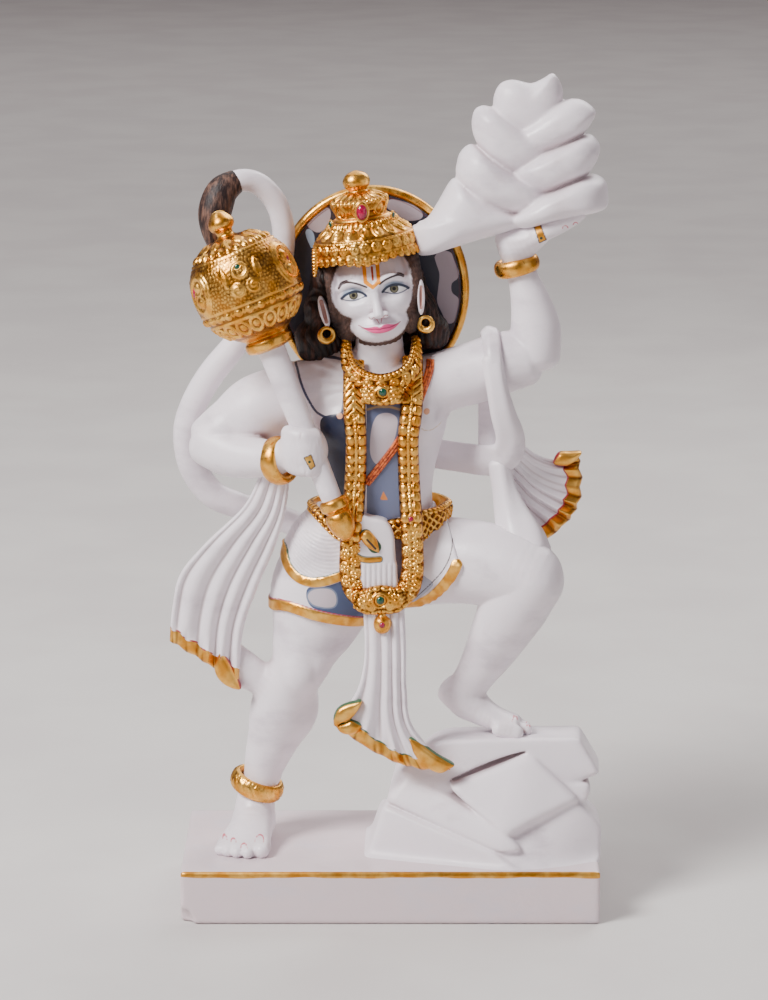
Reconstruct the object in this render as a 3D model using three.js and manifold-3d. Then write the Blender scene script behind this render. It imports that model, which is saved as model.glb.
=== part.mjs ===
// White marble figure of Hanuman carrying the mountain, with its rock and plinth.
// Millimetres, +Z up, +X to the viewer's right, -Y towards the viewer.
// The plinth stands on z = 0 with the middle of its underside at the origin.

import * as THREE from 'three';
import { mergeVertices } from 'three/addons/utils/BufferGeometryUtils.js';
import { ConvexGeometry } from 'three/addons/geometries/ConvexGeometry.js';
import Module from 'manifold-3d';

const wasm = await Module();
wasm.setup();

// Driving sizes of the plinth and of the whole figure above it
const plinthWidth = 305;
const plinthDepth = 152;
const plinthHeight = 40;
const plinthEdge = 2.5;
const chipAlong = 10;
const chipBack = 8;
const chipUp = 12;
const figureHeight = 570;

// The measures below are drawn for a figure this tall, heights taken from the plinth's top face
const drawnHeight = 570;
const share = figureHeight / drawnHeight;

// Cloth, ornaments and attributes, in the drawn measures
const sashThickness = 10;
const hemThickness = 12;
const haloThickness = 9;
const haloRimWire = 4.6;
const haloHalfWidth = 71;
const haloHalfHeight = 77;
const maceHeadRadius = 39;
const maceRelief = 1.6;
const shaftTopRadius = 10;
const shaftFootRadius = 7.3;
const maceLobes = 5;
const tailRadius = 8.6;
const tuftLocks = 6;
const crownRadius = 38;
const crownDepthShare = 0.88;
const crownScallops = 14;
const crownRelief = 0.7;
const garlandHalfWidth = 9.5;
const garlandRelief = 5.5;
const garlandBeads = 18;
const toeRadius = 4.4;
const fingerRadius = 5;
const fistFingerPitch = 8.5;
const palmFingerPitch = 9.5;
const bangleWire = 4.6;
const ankletWire = 5;
const earringRadius = 5.9;
const earringWire = 1.7;
const headLean = 8.5;
const armLean = 27;

// How the joined mesh is thinned out
const mostTriangles = 9800;
const sliverWeight = 1e-4;
const leastTurn = 0.3;
const thinnest = 0.05;
const touching = 0.02;
const drawInShare = 0.03;
const shareEachRound = 0.25;
const roundsAtMost = 40;

// Rows of body and limbs: x, y, z of the ring's middle, half width in the picture, half depth
const torso = [
  [-14, 2, 190, 44, 30],
  [-14, 1, 203, 56, 36],
  [-13, 0, 216, 61, 38],
  [-10, 0, 230, 56, 37],
  [-7, -1, 245, 44, 33],
  [-6, -2, 260, 36.5, 30],
  [-7, -2, 280, 39, 30],
  [-8, -1, 300, 45, 33],
  [-9, -1, 318, 51, 35],
  [-12, 1, 334, 55, 33],
  [-15, 3, 348, 50, 28],
  [-12, 3, 360, 30, 21],
];
const neck = [
  [-9, 3, 350, 22, 20],
  [-7, 1, 364, 17.5, 18],
  [-8, -1, 378, 17, 18],
  [-10, -2, 392, 17, 18],
];
const standingLeg = [
  [-38, 2, 214, 38, 36],
  [-48, 0, 190, 38.5, 35],
  [-56, -2, 166, 32, 31],
  [-62.5, -5, 149, 25, 26],
  [-67.5, -7, 134, 20, 22],
  [-75, -3, 117, 20.5, 20],
  [-80.5, 3, 99, 23.5, 22],
  [-86.3, 6, 80, 17, 18.5],
  [-91.7, 9, 61, 14.5, 15.5],
  [-95, 10, 46, 13.3, 14.5],
  [-100, 9, 30, 14, 16],
  [-101.5, 6, 12, 15, 19],
];
const standingFoot = [
  [-100, 26, 8, 10, 9],
  [-100.5, 14, 12, 13, 14],
  [-101.5, 0, 14, 15, 15],
  [-104, -14, 11, 17, 12.5],
  [-107.5, -28, 7, 19.5, 8.5],
  [-109.5, -38, 4, 20, 5.5],
];
const raisedThigh = [
  [-8, 4, 212, 36, 34],
  [22, 0, 214, 33, 32],
  [48, -8, 216, 31.5, 31],
  [74, -18, 215, 30, 29],
  [94, -26, 211, 27, 26],
  [106, -29, 207, 19, 21],
];
const raisedShin = [
  [101, -28, 210, 22, 24],
  [92, -25, 190, 25.5, 24],
  [84, -19, 172, 23, 22],
  [74, -11, 150, 19, 18.5],
  [64, -5, 131, 15, 15],
  [57, 0, 116, 13.3, 13.5],
  [60, -1, 104, 12, 13.5],
];
const raisedFoot = [
  [43, 4, 115.5, 10.5, 11],
  [55, 1, 108, 12.5, 13],
  [68, -4, 100.5, 10.5, 14],
  [80, -7, 95.5, 8, 15],
  [92, -9, 92.5, 6.2, 16],
];
const rightUpperArm = [
  [-46, 3, 338, 20, 22],
  [-66, 3, 338, 24, 25],
  [-82, 3, 332, 25, 25],
  [-98, 2, 324, 24, 24],
  [-116, 1, 313, 21.5, 22],
  [-131, 0, 303, 18.5, 19.5],
];
const rightForearm = [
  [-131, 0, 303, 18.5, 19],
  [-118, -10, 298, 18, 18],
  [-104, -20, 296, 16, 16.5],
  [-90, -30, 297, 13.5, 14],
  [-80, -37, 299, 12.5, 13],
];
const leftUpperArm = [
  [18, 3, 342, 22, 24],
  [42, 3, 348, 22, 24],
  [62, 2, 354, 22.5, 23],
  [82, 1, 361, 22.5, 23],
  [98, 0, 365, 20.5, 21],
];
const leftForearm = [
  [103.5, 0, 367, 19.5, 20],
  [105, 0, 386, 18.3, 18],
  [101, 0, 406, 14.5, 15],
  [95.5, 0, 424, 11, 12],
  [91.5, 0, 438, 11.5, 12.5],
  [89, 0, 452, 13.5, 16],
];
const raisedPalm = [
  [86, 0, 451, 12, 16],
  [100, -1, 456.5, 10.5, 18],
  [116, -2, 463.5, 8.5, 17],
];
const tail = [
  [-52, 26, 228, 1.1], [-82, 36, 238, 1.1], [-110, 34, 247, 1.15], [-132, 31, 258, 1.2],
  [-145, 28, 279, 1.25], [-149, 26, 304, 1.2], [-144, 25, 325, 1.15], [-131, 24, 348, 1.15],
  [-114, 23, 369, 1.1], [-97, 21, 391, 1.05], [-84, 20, 415, 1], [-78, 20, 438, 0.97],
  [-77.5, 20, 458, 0.95], [-83, 19, 476, 0.95], [-95, 16, 489, 0.95], [-108, 12, 492, 0.95],
  [-119, 9, 486, 1],
].map(([x, y, z, size]) => [x, y, z, size * tailRadius, size * tailRadius]);
const tuft = [
  [-112, 11, 491, 9, 9],
  [-121, 8, 484, 11.5, 11],
  [-126, 5, 470, 12, 12],
  [-127, 3, 456, 9, 10],
  [-127, 1, 444, 3.5, 5],
];

// Lumps laid over them: x, y, z of the middle, half width, half depth, half height, lean in degrees
const chest = [
  [-31, -20, 322, 21, 14, 15, 0],
  [14, -20, 323, 20, 14, 15, 0],
];
const belly = [
  [-26, -14, 272, 13, 17, 34, 0],
  [11, -14, 272, 13, 17, 34, 0],
];
const kneesAndCalf = [
  [-64, -22, 136, 12, 10, 14, 0],
  [-72, 8, 104, 18, 17, 26, 0],
  [105, -30, 208, 20.5, 22, 23, 0],
];
const sleeve = [[-97, 3, 327, 27, 27, 23, -armLean]];
const fist = [[-66, -43, 308, 15, 13, 19, 15]];
const faceAndSkull = [
  [-10, -8, 408, 23, 27, 34, -headLean],
  [-14, 6, 418, 29, 27, 30, -headLean],
  [-8.5, -22, 391, 15, 14, 14, -headLean],
  [-12.5, -25, 423, 17, 10, 7, -headLean],
];
const noseAndEars = [
  [-10, -35, 404, 3.6, 4.5, 9, -headLean],
  [-48, 0, 408, 5, 6, 13, -headLean],
  [22, 0, 412, 5, 6, 13, -headLean],
];
const hair = [
  [-50, 8, 381, 21, 17, 15, 0],
  [32, 8, 384, 17, 17, 14, 0],
  [-12, 18, 386, 44, 14, 22, 0],
  [-41, 8, 404, 12, 18, 26, -headLean],
  [15, 8, 408, 12, 18, 26, -headLean],
];

// Toes: x and y of the tip, size against the toe radius
const standingToes = [
  [-94.5, -47, 1.25], [-104.5, -48, 1], [-112.5, -46, 0.95], [-119.5, -43, 0.9], [-125, -39, 0.85],
];
const raisedToes = [
  [98, -23, 1.25], [105, -14, 1], [104, -6, 0.95], [101, 1, 0.9], [97, 7, 0.85],
];

// Thumb of the fist, knot of the waist cloth, gold edges of the loincloth, and the bridge to the leg
const fistThumb = [
  [-72, -50, 326, 5.5, 5.5],
  [-60, -54, 333, 4.8, 4.8],
];
const waistKnot = [
  [-24, -46, 244, 12, 9],
  [-10, -47, 243, 13, 9],
  [-1, -47, 228, 10, 8],
  [-3, -45, 205, 12, 6],
];
const loinclothEdges = [
  [[-49, -1, 186, 37, 36], [-52.5, -2, 174, 34.5, 34.5]],
  [[-43, 0, 207, 41.5, 39], [-46, -1, 199, 40, 38]],
  [[20, 0, 213, 35.5, 34.5], [36, -4, 214.5, 34.5, 33.5]],
];
const bridgeToLeg = [
  [-112, -8, 132, 12, 8],
  [-98, -5, 124, 9.5, 7],
  [-80, -3, 116, 10.5, 9],
];

// Rings of round wire: middle, the way the hole points, radius and wire
const bangles = [
  { middle: [-84, -33, 297.5], axis: [0.8, -0.58, 0.1], radius: 13.5, wire: bangleWire },
  { middle: [92.5, 0, 428], axis: [-0.25, 0, 1], radius: 12.6, wire: bangleWire },
  { middle: [-99, 9, 40], axis: [0.33, -0.1, 1], radius: 15.4, wire: ankletWire },
];
const earrings = [
  { middle: [-47.5, -4, 386], axis: [0.25, -1, 0], radius: earringRadius, wire: earringWire },
  { middle: [26, -4, 394], axis: [-0.25, -1, 0], radius: earringRadius, wire: earringWire },
];

// Middle line of the garland's two strands as x and z, from one shoulder round to the other
const garlandLine = [
  [-25, 366], [-25, 340], [-24, 312], [-25, 284], [-27, 256], [-28, 232], [-27, 212], [-20, 199],
  [-6.5, 194], [7.5, 199], [14.5, 212], [15.5, 232], [15, 256], [13, 284], [12.6, 312], [13, 340],
  [13, 366],
];
const garlandClasp = [[-6.7, -45, 198, 16, 6, 9.5, 0]];
const garlandPendant = [[-6.7, -45, 178, 5.5, 5.5, 7, 0]];

// Collar round the neck and belt round the waist
const collarMiddle = [-7, 4, 366];
const collarReach = [25, 37, 20];
const collarSize = [8, 5];
const beltMiddle = [-7, -1, 246];
const beltReach = [43, 33];
const beltWire = 4;
const beltHalfHeight = 8;

// Turned pieces: where they stand, their axis, and rows of radius and distance along it
const crownFoot = [-15.5, -1, 434];
const crownProfile = [
  [0, 0], [crownRadius - 2, 0], [crownRadius, 3], [crownRadius, 9], [crownRadius - 2, 15],
  [crownRadius - 3.5, 21], [28.5, 25], [26, 30], [24, 38], [20.5, 45], [18, 48], [9.5, 51], [6, 53],
  [9, 57], [9, 61], [6, 65], [0, 67],
];
const maceHeadMiddle = [-102.2, -34, 422];
const maceAxis = [0.37, -0.0952, -0.9241];
const maceHeadProfile = [
  [0.45, -0.93], [0.72, -0.74], [0.9, -0.5], [0.99, -0.2], [1, 0.08], [0.94, 0.34], [0.8, 0.6],
  [0.58, 0.82], [0.42, 0.95],
].map(([radius, along]) => [radius * maceHeadRadius, along * maceHeadRadius]);
const maceProfile = [
  [0, -57], [5.5, -55], [8.5, -50], [8.5, -46], [5, -41], [7, -38], ...maceHeadProfile,
  [16.5, 38.5], [17.5, 42], [16.5, 46], [shaftTopRadius, 48],
  [(shaftTopRadius + shaftFootRadius) / 2, 107], [shaftFootRadius, 165],
  [11, 167], [11.5, 172], [8, 175], [9, 179], [12.5, 188], [10, 195], [0, 198],
];
const haloMiddle = [-13.2, 30, 409.5];

// Ribbons of the shawl: the band out of the back, and the strip that lies over the raised arm
const shawlBand = [
  [24, 26, 290, 11, 5],
  [50, 18, 288, 11, 5.5],
  [70, 7, 288, 11.5, 6],
  [83, -6, 294, 11.5, 6.5],
  [86.5, -15, 308, 10.5, 6.5],
  [81, -23, 328, 9, 6],
  [76, -26, 350, 7.5, 5.5],
  [73, -22, 368, 7.5, 5],
];
const shawlOverArm = [
  [76, -24, 350, 5, 7],
  [74, -22, 369, 5, 6.5],
  [73, -12, 379, 5, 6.5],
  [72, 0, 383, 5, 6.5],
  [72, 13, 378, 5, 6.5],
  [72, 22, 365, 5, 7],
  [72, 24, 345, 5, 8],
  [72.5, 20, 320, 5, 8.5],
  [72, 12, 296, 5, 8],
];
const shawlFold = [
  [79, -2, 286, 8, 8],
  [83, -6, 268, 9, 9],
  [89, -11, 250, 13, 11],
  [95, -17, 236, 17, 14],
  [99, -22, 224, 18, 16],
];

// Hanging cloths, each edge a row of x, y, z from its top to its hem
const leftSash = {
  left: [
    [-97, -24, 284], [-107, -23, 260], [-132, -20, 232], [-149, -17, 206], [-155, -15, 178],
    [-158.5, -13, 155],
  ],
  right: [
    [-72, -24, 284], [-76, -22, 255], [-83, -20, 231], [-98, -16, 198], [-111, -13, 165],
    [-112, -10, 122],
  ],
  folds: 4.5, depth: 4, sag: 0, sideSteps: 18, fallSteps: 5,
};
const centreSash = {
  left: [[-20, -42, 196], [-18.5, -44, 166], [-19.5, -45, 146], [-25, -46, 127], [-41, -47, 103]],
  right: [[10, -42, 196], [11.5, -44, 160], [12, -44, 128], [17, -43, 100], [44, -42, 67]],
  folds: 4.5, depth: 3.5, sag: 11, sideSteps: 18, fallSteps: 5,
};
const shawlFan = {
  left: [[86, 4, 306], [96, 6, 300], [107, 10, 291.5], [121, 14, 286.5], [138, 16, 288]],
  right: [[80, 4, 276], [89, 7, 262], [98, 10, 248], [106, 12, 238], [114, 14, 226]],
  folds: 4.5, depth: 4.5, sag: 13, sideSteps: 18, fallSteps: 4,
};

// Boulders of the mountain: middle x, z, half depth, and the outline's corners round it
const mountainLobes = [
  { middle: [98, 547], depth: 15, outline: [[73.5, 540], [73.5, 553], [78, 562.5], [87, 565.5], [100, 563],
    [109, 566.5], [116, 570], [122, 561], [122, 550], [113, 532], [97, 526], [83, 531]] },
  { middle: [119, 533], depth: 21, outline: [[88, 526], [104, 540], [121, 550], [135, 551.5], [145.5, 544.5],
    [145, 538], [137, 527], [121, 518], [104, 513], [90, 515]] },
  { middle: [84, 524], depth: 21, outline: [[58, 533.5], [60, 544], [68, 547], [80, 541], [98, 529],
    [111, 518], [110, 508], [90, 497], [71, 507], [61, 522]] },
  { middle: [120, 508], depth: 27, outline: [[86, 500], [104, 513], [124, 522], [141, 527], [149.5, 519],
    [147.5, 508], [140, 498], [122, 489], [106, 484], [90, 488]] },
  { middle: [76, 495], depth: 27, outline: [[47, 497], [49, 512], [58, 519.5], [71, 512], [94, 497],
    [112, 488], [112, 474], [90, 470], [66, 476], [54, 486]] },
  { middle: [120, 480], depth: 33, outline: [[84, 466], [98, 480], [118, 490], [140, 498], [153, 494.5],
    [156, 483], [154, 474], [139, 469], [118, 462], [94, 459]] },
  { middle: [60, 471], depth: 26, outline: [[15, 459], [31, 470], [42, 492], [49, 494], [76, 480],
    [98, 468], [94, 461], [64, 453], [42, 444], [30, 439], [18, 442]] },
];

// Blocks of the rock: corners x, y, z
const rockBlocks = [
  [[30, -20, 79], [46, -31, 84], [136, -34, 85], [141, 16, 86], [46, 16, 85], [30, 12, 80], [136, 34, 76],
    [50, 34, 74], [6, -30, 46], [157, -34, 52], [157, 26, 52], [4, 30, 46], [150, -34, 48], [14, -34, 40]],
  [[60, -34, 56], [146, -34, 50], [148, -30, 40], [147, 26, 50], [140, -36, 24], [138, 28, 24], [60, 28, 24],
    [60, -36, 24]],
  [[84, -44, 34], [140, -40, 33], [158, -36, 14], [154, -44, -2], [154, 34, -2], [158, 30, 16],
    [138, 34, 34], [60, 34, 34], [60, 34, -2], [78, -58, -2]],
  [[50, -43, 57], [103, -27, 77], [140, -38, 44], [83, -64, 24], [52, -8, 62], [103, 0, 76], [138, 0, 44],
    [83, -20, 20], [86, -58, 19], [138, -32, 37]],
  [[7, -30, 65], [52, -44, 46], [84, -62, 18], [80, -62, 8], [-7, -36, 35], [-1, -33, 50], [2, 24, 46],
    [60, 30, 50], [60, 0, 4], [0, 20, 20], [24, -36, 54]],
  [[-7, -38, 33], [82, -68, 4], [84, -68, -2], [-14, -34, -2], [-13, -32, 17], [-8, 26, 20], [-14, 28, -2],
    [60, 30, 24], [60, 30, -2]],
];

// Solid from a closed three.js geometry, turned the right way out
function solidOf(geometry) {
  geometry.deleteAttribute('normal');
  geometry.deleteAttribute('uv');
  const merged = mergeVertices(geometry, 1e-4);
  const points = new Float32Array(merged.attributes.position.array);
  const corners = [];
  const index = merged.index.array;
  for (let i = 0; i < index.length; i += 3) {
    const [a, b, c] = [index[i], index[i + 1], index[i + 2]];
    if (a !== b && b !== c && c !== a) corners.push(a, b, c);
  }
  if (signedVolume(points, corners) < 0) {
    for (let i = 0; i < corners.length; i += 3) {
      [corners[i], corners[i + 1]] = [corners[i + 1], corners[i]];
    }
  }
  const mesh = new wasm.Mesh({ numProp: 3, vertProperties: points, triVerts: new Uint32Array(corners) });
  return new wasm.Manifold(mesh);
}

function signedVolume(points, corners) {
  let six = 0;
  const corner = (i) => new THREE.Vector3().fromArray(points, 3 * corners[i]);
  for (let i = 0; i < corners.length; i += 3) {
    six += corner(i).dot(corner(i + 1).cross(corner(i + 2)));
  }
  return six / 6;
}

// Moves every vertex of a geometry by a function of its old place
function reshape(geometry, move) {
  const place = geometry.attributes.position;
  for (let i = 0; i < place.count; i++) {
    const moved = move(place.getX(i), place.getY(i), place.getZ(i));
    place.setXYZ(i, moved.x, moved.y, moved.z);
  }
  return geometry;
}

const vector = (row) => new THREE.Vector3(row[0], row[1], row[2]);

// Values of a table's rows at a place between 0 and 1 along it, smoothly from row to row
function rowAt(rows, along) {
  const last = rows.length - 1;
  const step = Math.min(Math.floor(along * last), last - 1);
  const t = along * last - step;
  const pick = (i) => rows[Math.min(Math.max(i, 0), last)];
  const [before, from, to, after] = [pick(step - 1), pick(step), pick(step + 1), pick(step + 2)];
  return from.map((value, i) => {
    const slopeIn = (to[i] - before[i]) / 2;
    const slopeOut = (after[i] - from[i]) / 2;
    const rise = to[i] - value;
    const bend = 3 * rise - 2 * slopeIn - slopeOut;
    return value + t * (slopeIn + t * (bend + t * (slopeIn + slopeOut - 2 * rise)));
  });
}

// Closed tube through rows of rings, its ends rounded; ripple changes a ring's size round and along
function limb(rows, { sides = 10, steps = rows.length - 1, deepAxis = [0, 1, 0], dome = 0.6, ripple } = {}) {
  const endRings = [0.7];
  const rings = [];
  for (let i = 0; i <= steps; i++) rings.push(ringAt(rows, i / steps, deepAxis));
  const first = rings[0];
  const last = rings[steps];
  const rounded = [
    ...endRings.toReversed().map((lift) => domeRing(first, -lift * dome, Math.sqrt(1 - lift * lift))),
    ...rings,
    ...endRings.map((lift) => domeRing(last, lift * dome, Math.sqrt(1 - lift * lift))),
  ];
  const tips = [domeRing(first, -dome, 0).middle, domeRing(last, dome, 0).middle];
  const tube = new THREE.CylinderGeometry(1, 1, 1, sides, rounded.length - 1);
  return solidOf(reshape(tube, (x, y, z) => {
    const along = 0.5 - y;
    if (Math.hypot(x, z) < 0.5) return along < 0.5 ? tips[0].clone() : tips[1].clone();
    const ring = rounded[Math.round(along * (rounded.length - 1))];
    const grow = ripple ? ripple(along, Math.atan2(z, x)) : 1;
    return ring.middle.clone().addScaledVector(ring.wide, x * grow).addScaledVector(ring.deep, z * grow);
  }));
}

function ringAt(rows, along, deepAxis) {
  const nudge = 1e-3;
  const row = rowAt(rows, along);
  const ahead = vector(rowAt(rows, Math.min(along + nudge, 1)));
  const run = ahead.sub(vector(rowAt(rows, Math.max(along - nudge, 0)))).normalize();
  const deep = vector(deepAxis).addScaledVector(run, -run.dot(vector(deepAxis))).normalize();
  const wide = new THREE.Vector3().crossVectors(run, deep);
  return { middle: vector(row), run, wide: wide.multiplyScalar(row[3]), deep: deep.multiplyScalar(row[4]) };
}

function domeRing(ring, lift, size) {
  const reach = lift * Math.min(ring.wide.length(), ring.deep.length());
  return {
    middle: ring.middle.clone().addScaledVector(ring.run, reach),
    wide: ring.wide.clone().multiplyScalar(size),
    deep: ring.deep.clone().multiplyScalar(size),
  };
}

// Round lump with half sizes, leaning in the picture by an angle
function lump(middle, halfSizes, lean, sides = 10) {
  const [wide, deep, high] = halfSizes;
  const ball = new THREE.SphereGeometry(1, sides, 2 * Math.round(sides * 0.3));
  const turn = new THREE.Quaternion().setFromAxisAngle(new THREE.Vector3(0, 1, 0), lean);
  const place = (x, y, z) => new THREE.Vector3(x * wide, z * deep, y * high).applyQuaternion(turn);
  return solidOf(reshape(ball, (x, y, z) => place(x, y, z).add(vector(middle))));
}

const lumps = (rows, sides) => rows.map(([x, y, z, wide, deep, high, lean]) => (
  lump([x, y, z], [wide, deep, high], THREE.MathUtils.degToRad(lean), sides)));

// Turn that lays one direction along another
function turnTo(from, axis) {
  return new THREE.Quaternion().setFromUnitVectors(vector(from), vector(axis).normalize());
}

// Turned shape on a slanted axis: profile rows of radius and distance along the axis
function turned(foot, axis, profile, { sides = 20, depthShare = 1, relief } = {}) {
  const outline = profile.map(([radius, along]) => new THREE.Vector2(radius, along));
  const lathe = new THREE.LatheGeometry(outline, sides);
  const turn = turnTo([0, 1, 0], axis);
  return solidOf(reshape(lathe, (x, y, z) => {
    const radius = Math.hypot(x, z);
    const grow = relief && radius > 1e-6 ? 1 + relief(y, Math.atan2(z, x)) / radius : 1;
    return new THREE.Vector3(x * grow, y, z * grow * depthShare).applyQuaternion(turn).add(vector(foot));
  }));
}

// Ring of round wire: its middle, the way its hole points, its radius and wire
function hoop({ middle, axis, radius, wire }, sides = 16) {
  const ring = new THREE.TorusGeometry(radius, wire, 6, sides);
  const turn = turnTo([0, 0, 1], axis);
  const place = (x, y, z) => new THREE.Vector3(x, y, z).applyQuaternion(turn);
  return solidOf(reshape(ring, (x, y, z) => place(x, y, z).add(vector(middle))));
}

// Hanging cloth between two edges, with folds that deepen towards a thicker hem
function cloth({ left, right, folds, depth, sag, sideSteps, fallSteps }) {
  const hemShare = 0.12;
  const middle = (fall) => vector(rowAt(left, fall)).add(vector(rowAt(right, fall))).divideScalar(2);
  const down = middle(1).sub(middle(0.7)).normalize();
  const place = (across, fall) => {
    const from = vector(rowAt(left, fall));
    const to = vector(rowAt(right, fall));
    const fold = depth * (0.35 + 0.65 * fall) * Math.sin(2 * Math.PI * folds * across);
    const droop = sag * fall * fall * Math.sin(Math.PI * across);
    return from.lerp(to, across).addScaledVector(down, droop).add(new THREE.Vector3(0, fold, 0));
  };
  const sheet = new THREE.BoxGeometry(1, 1, 1, sideSteps, fallSteps, 1);
  return solidOf(reshape(sheet, (x, y, z) => {
    const [across, fall] = [x + 0.5, 0.5 - y];
    const nudge = 0.01;
    const acrossRun = place(Math.min(across + nudge, 1), fall).sub(place(Math.max(across - nudge, 0), fall));
    const fallRun = place(across, Math.min(fall + nudge, 1)).sub(place(across, Math.max(fall - nudge, 0)));
    const outward = acrossRun.cross(fallRun).normalize();
    const thickness = fall > 1 - hemShare ? hemThickness : sashThickness;
    return place(across, fall).addScaledVector(outward, z * thickness);
  }));
}

// Pillow-shaped boulder whose outline in the picture has the given corners
function boulder({ middle, depth, outline }) {
  const shape = new THREE.SplineCurve([...outline, outline[0]].map(([x, z]) => new THREE.Vector2(x, z)));
  const [middleX, middleZ] = middle;
  const angleTo = (point) => Math.atan2(point.y - middleZ, point.x - middleX);
  const rim = shape.getPoints(60).map((point) => [angleTo(point), point]);
  const reach = (angle) => {
    const gap = (other) => Math.abs(Math.atan2(Math.sin(angle - other), Math.cos(angle - other)));
    const near = rim.toSorted((a, b) => gap(a[0]) - gap(b[0])).slice(0, 2);
    const reaches = near.map(([, point]) => Math.hypot(point.x - middleX, point.y - middleZ));
    return (reaches[0] + reaches[1]) / 2;
  };
  const sides = 20;
  const reaches = Array.from({ length: sides }, (_, i) => reach((2 * Math.PI * i) / sides));
  const ball = new THREE.SphereGeometry(1, sides, 6);
  return solidOf(reshape(ball, (x, y, z) => {
    const flat = Math.hypot(x, z);
    const turn = (Math.atan2(z, x) / (2 * Math.PI) + 1) * sides;
    const radius = reaches[Math.round(turn) % sides] * flat ** 0.7;
    const angle = Math.atan2(z, x);
    const [across, up] = [radius * Math.cos(angle), radius * Math.sin(angle)];
    return new THREE.Vector3(middleX + across, y * depth, middleZ + up);
  }));
}

// Front of the body at a height, halfway between its middle and the side at x
function bodyFront(x, z) {
  let along = 0;
  while (along < 1 && rowAt(torso, along)[2] < z) along += 0.01;
  const [middleX, middleY, , halfWidth, halfDepth] = rowAt(torso, Math.min(along, 1));
  const side = Math.min(Math.abs(x - middleX) / halfWidth, 0.95);
  return middleY - halfDepth * Math.sqrt(1 - side * side);
}

function body() {
  return [limb(torso, { sides: 18, dome: 0.3 }), limb(neck), ...lumps(chest), ...lumps(belly, 8)];
}

function legs() {
  const limbs = [standingLeg, raisedThigh, raisedShin].map((rows) => limb(rows, { sides: 12 }));
  return [...limbs, ...lumps(kneesAndCalf)];
}

function feet() {
  const toe = (rows, deepAxis) => limb(rows, { sides: 6, deepAxis, dome: 1 });
  const pieces = [limb(standingFoot, { deepAxis: [0, 0, 1] }), limb(raisedFoot)];
  for (const [x, y, size] of standingToes) {
    const r = toeRadius * size;
    pieces.push(toe([[x + 1, y + 16, r, r, r], [x, y + r, r - 0.5, r, r]], [0, 0, 1]));
  }
  for (const [x, y, size] of raisedToes) {
    const r = toeRadius * size;
    pieces.push(toe([[x - 18, y + 1, 92, r, r], [x - r, y, 89.5, r, r]], [0, 1, 0]));
  }
  return pieces;
}

function arms() {
  const limbs = [rightUpperArm, rightForearm, leftUpperArm, leftForearm];
  return [...limbs.map((rows) => limb(rows, { sides: 11 })), ...lumps(sleeve)];
}

function hands() {
  const finger = (rows) => limb(rows, { sides: 6, dome: 0.9 });
  const pieces = [...lumps(fist), limb(raisedPalm), finger(fistThumb)];
  const r = fingerRadius;
  const tip = 0.8 * fingerRadius;
  for (let i = 0; i < 4; i++) {
    const [x, z] = [-66 + 2.2 * i, 322 - fistFingerPitch * i];
    pieces.push(finger([[x - 10, -50, z + 1, r, r], [x, -58, z, r, r], [x + 10, -55, z - 2, r, r]]));
    const y = -15 + palmFingerPitch * i;
    pieces.push(finger([[108, y, 457, r, r], [126, y, 463, r, r], [139 - 2 * i, y, 471, tip, tip]]));
  }
  return pieces;
}

function head() {
  const hoops = earrings.map((ring) => hoop(ring, 10));
  return [...lumps(faceAndSkull, 13), ...lumps(noseAndEars, 7), ...lumps(hair), ...hoops];
}

function crown() {
  const lean = THREE.MathUtils.degToRad(headLean);
  const axis = [-Math.sin(lean), 0, Math.cos(lean)];
  const scallop = (angle) => crownRelief * Math.cos(crownScallops * angle);
  const relief = (along, angle) => (along > 1 && along < 30 ? scallop(angle) : 0);
  const sides = 2 * crownScallops;
  return [turned(crownFoot, axis, crownProfile, { sides, depthShare: crownDepthShare, relief })];
}

// Flat oval disc behind the head with a round gold rim
function halo() {
  const sides = 32;
  const disc = new THREE.CylinderGeometry(1, 1, 1, sides, 1);
  const rim = new THREE.TorusGeometry(haloHalfWidth, haloRimWire, 6, sides);
  const [across, up] = [haloHalfWidth - haloRimWire, haloHalfHeight - haloRimWire];
  return [
    solidOf(reshape(disc, (x, y, z) => new THREE.Vector3(x * across, y * haloThickness, z * up)
      .add(vector(haloMiddle)))),
    solidOf(reshape(rim, (x, y, z) => {
      const out = Math.hypot(x, y);
      const lift = out - haloHalfWidth;
      return new THREE.Vector3(x / out * (across + lift), z, y / out * (up + lift)).add(vector(haloMiddle));
    })),
  ];
}

function mace() {
  const relief = (along, angle) => (Math.abs(along) < 32 ? maceRelief * Math.cos(maceLobes * angle) : 0);
  return [turned(maceHeadMiddle, maceAxis, maceProfile, { sides: 20, relief })];
}

function garland() {
  const strand = garlandLine.map(([x, z]) => [x, bodyFront(x, z) - 2.5, z, garlandHalfWidth, garlandRelief]);
  const beads = (along) => 1 + 0.07 * Math.cos(2 * Math.PI * garlandBeads * along);
  return [
    limb(strand, { sides: 6, steps: 2 * garlandBeads, ripple: beads }),
    ...lumps(garlandClasp),
    ...lumps(garlandPendant, 8),
  ];
}

function collar() {
  const rows = [];
  const steps = 12;
  for (let i = 0; i <= steps; i++) {
    const turn = Math.PI * (-0.12 + (1.24 * i) / steps);
    const drop = Math.max(Math.sin(turn), 0);
    const shape = [-Math.cos(turn), -drop, -drop];
    const place = collarMiddle.map((value, axis) => value + collarReach[axis] * shape[axis]);
    rows.push([...place, ...collarSize]);
  }
  return [limb(rows, { sides: 6 })];
}

function belt() {
  const ring = new THREE.TorusGeometry(beltReach[0], beltWire, 6, 24);
  return [solidOf(reshape(ring, (x, y, z) => {
    const out = Math.hypot(x, y);
    const lift = out - beltReach[0];
    const place = new THREE.Vector3(x / out * (beltReach[0] + lift), y / out * (beltReach[1] + lift),
      z / beltWire * beltHalfHeight);
    return place.add(vector(beltMiddle));
  }))];
}

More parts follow.
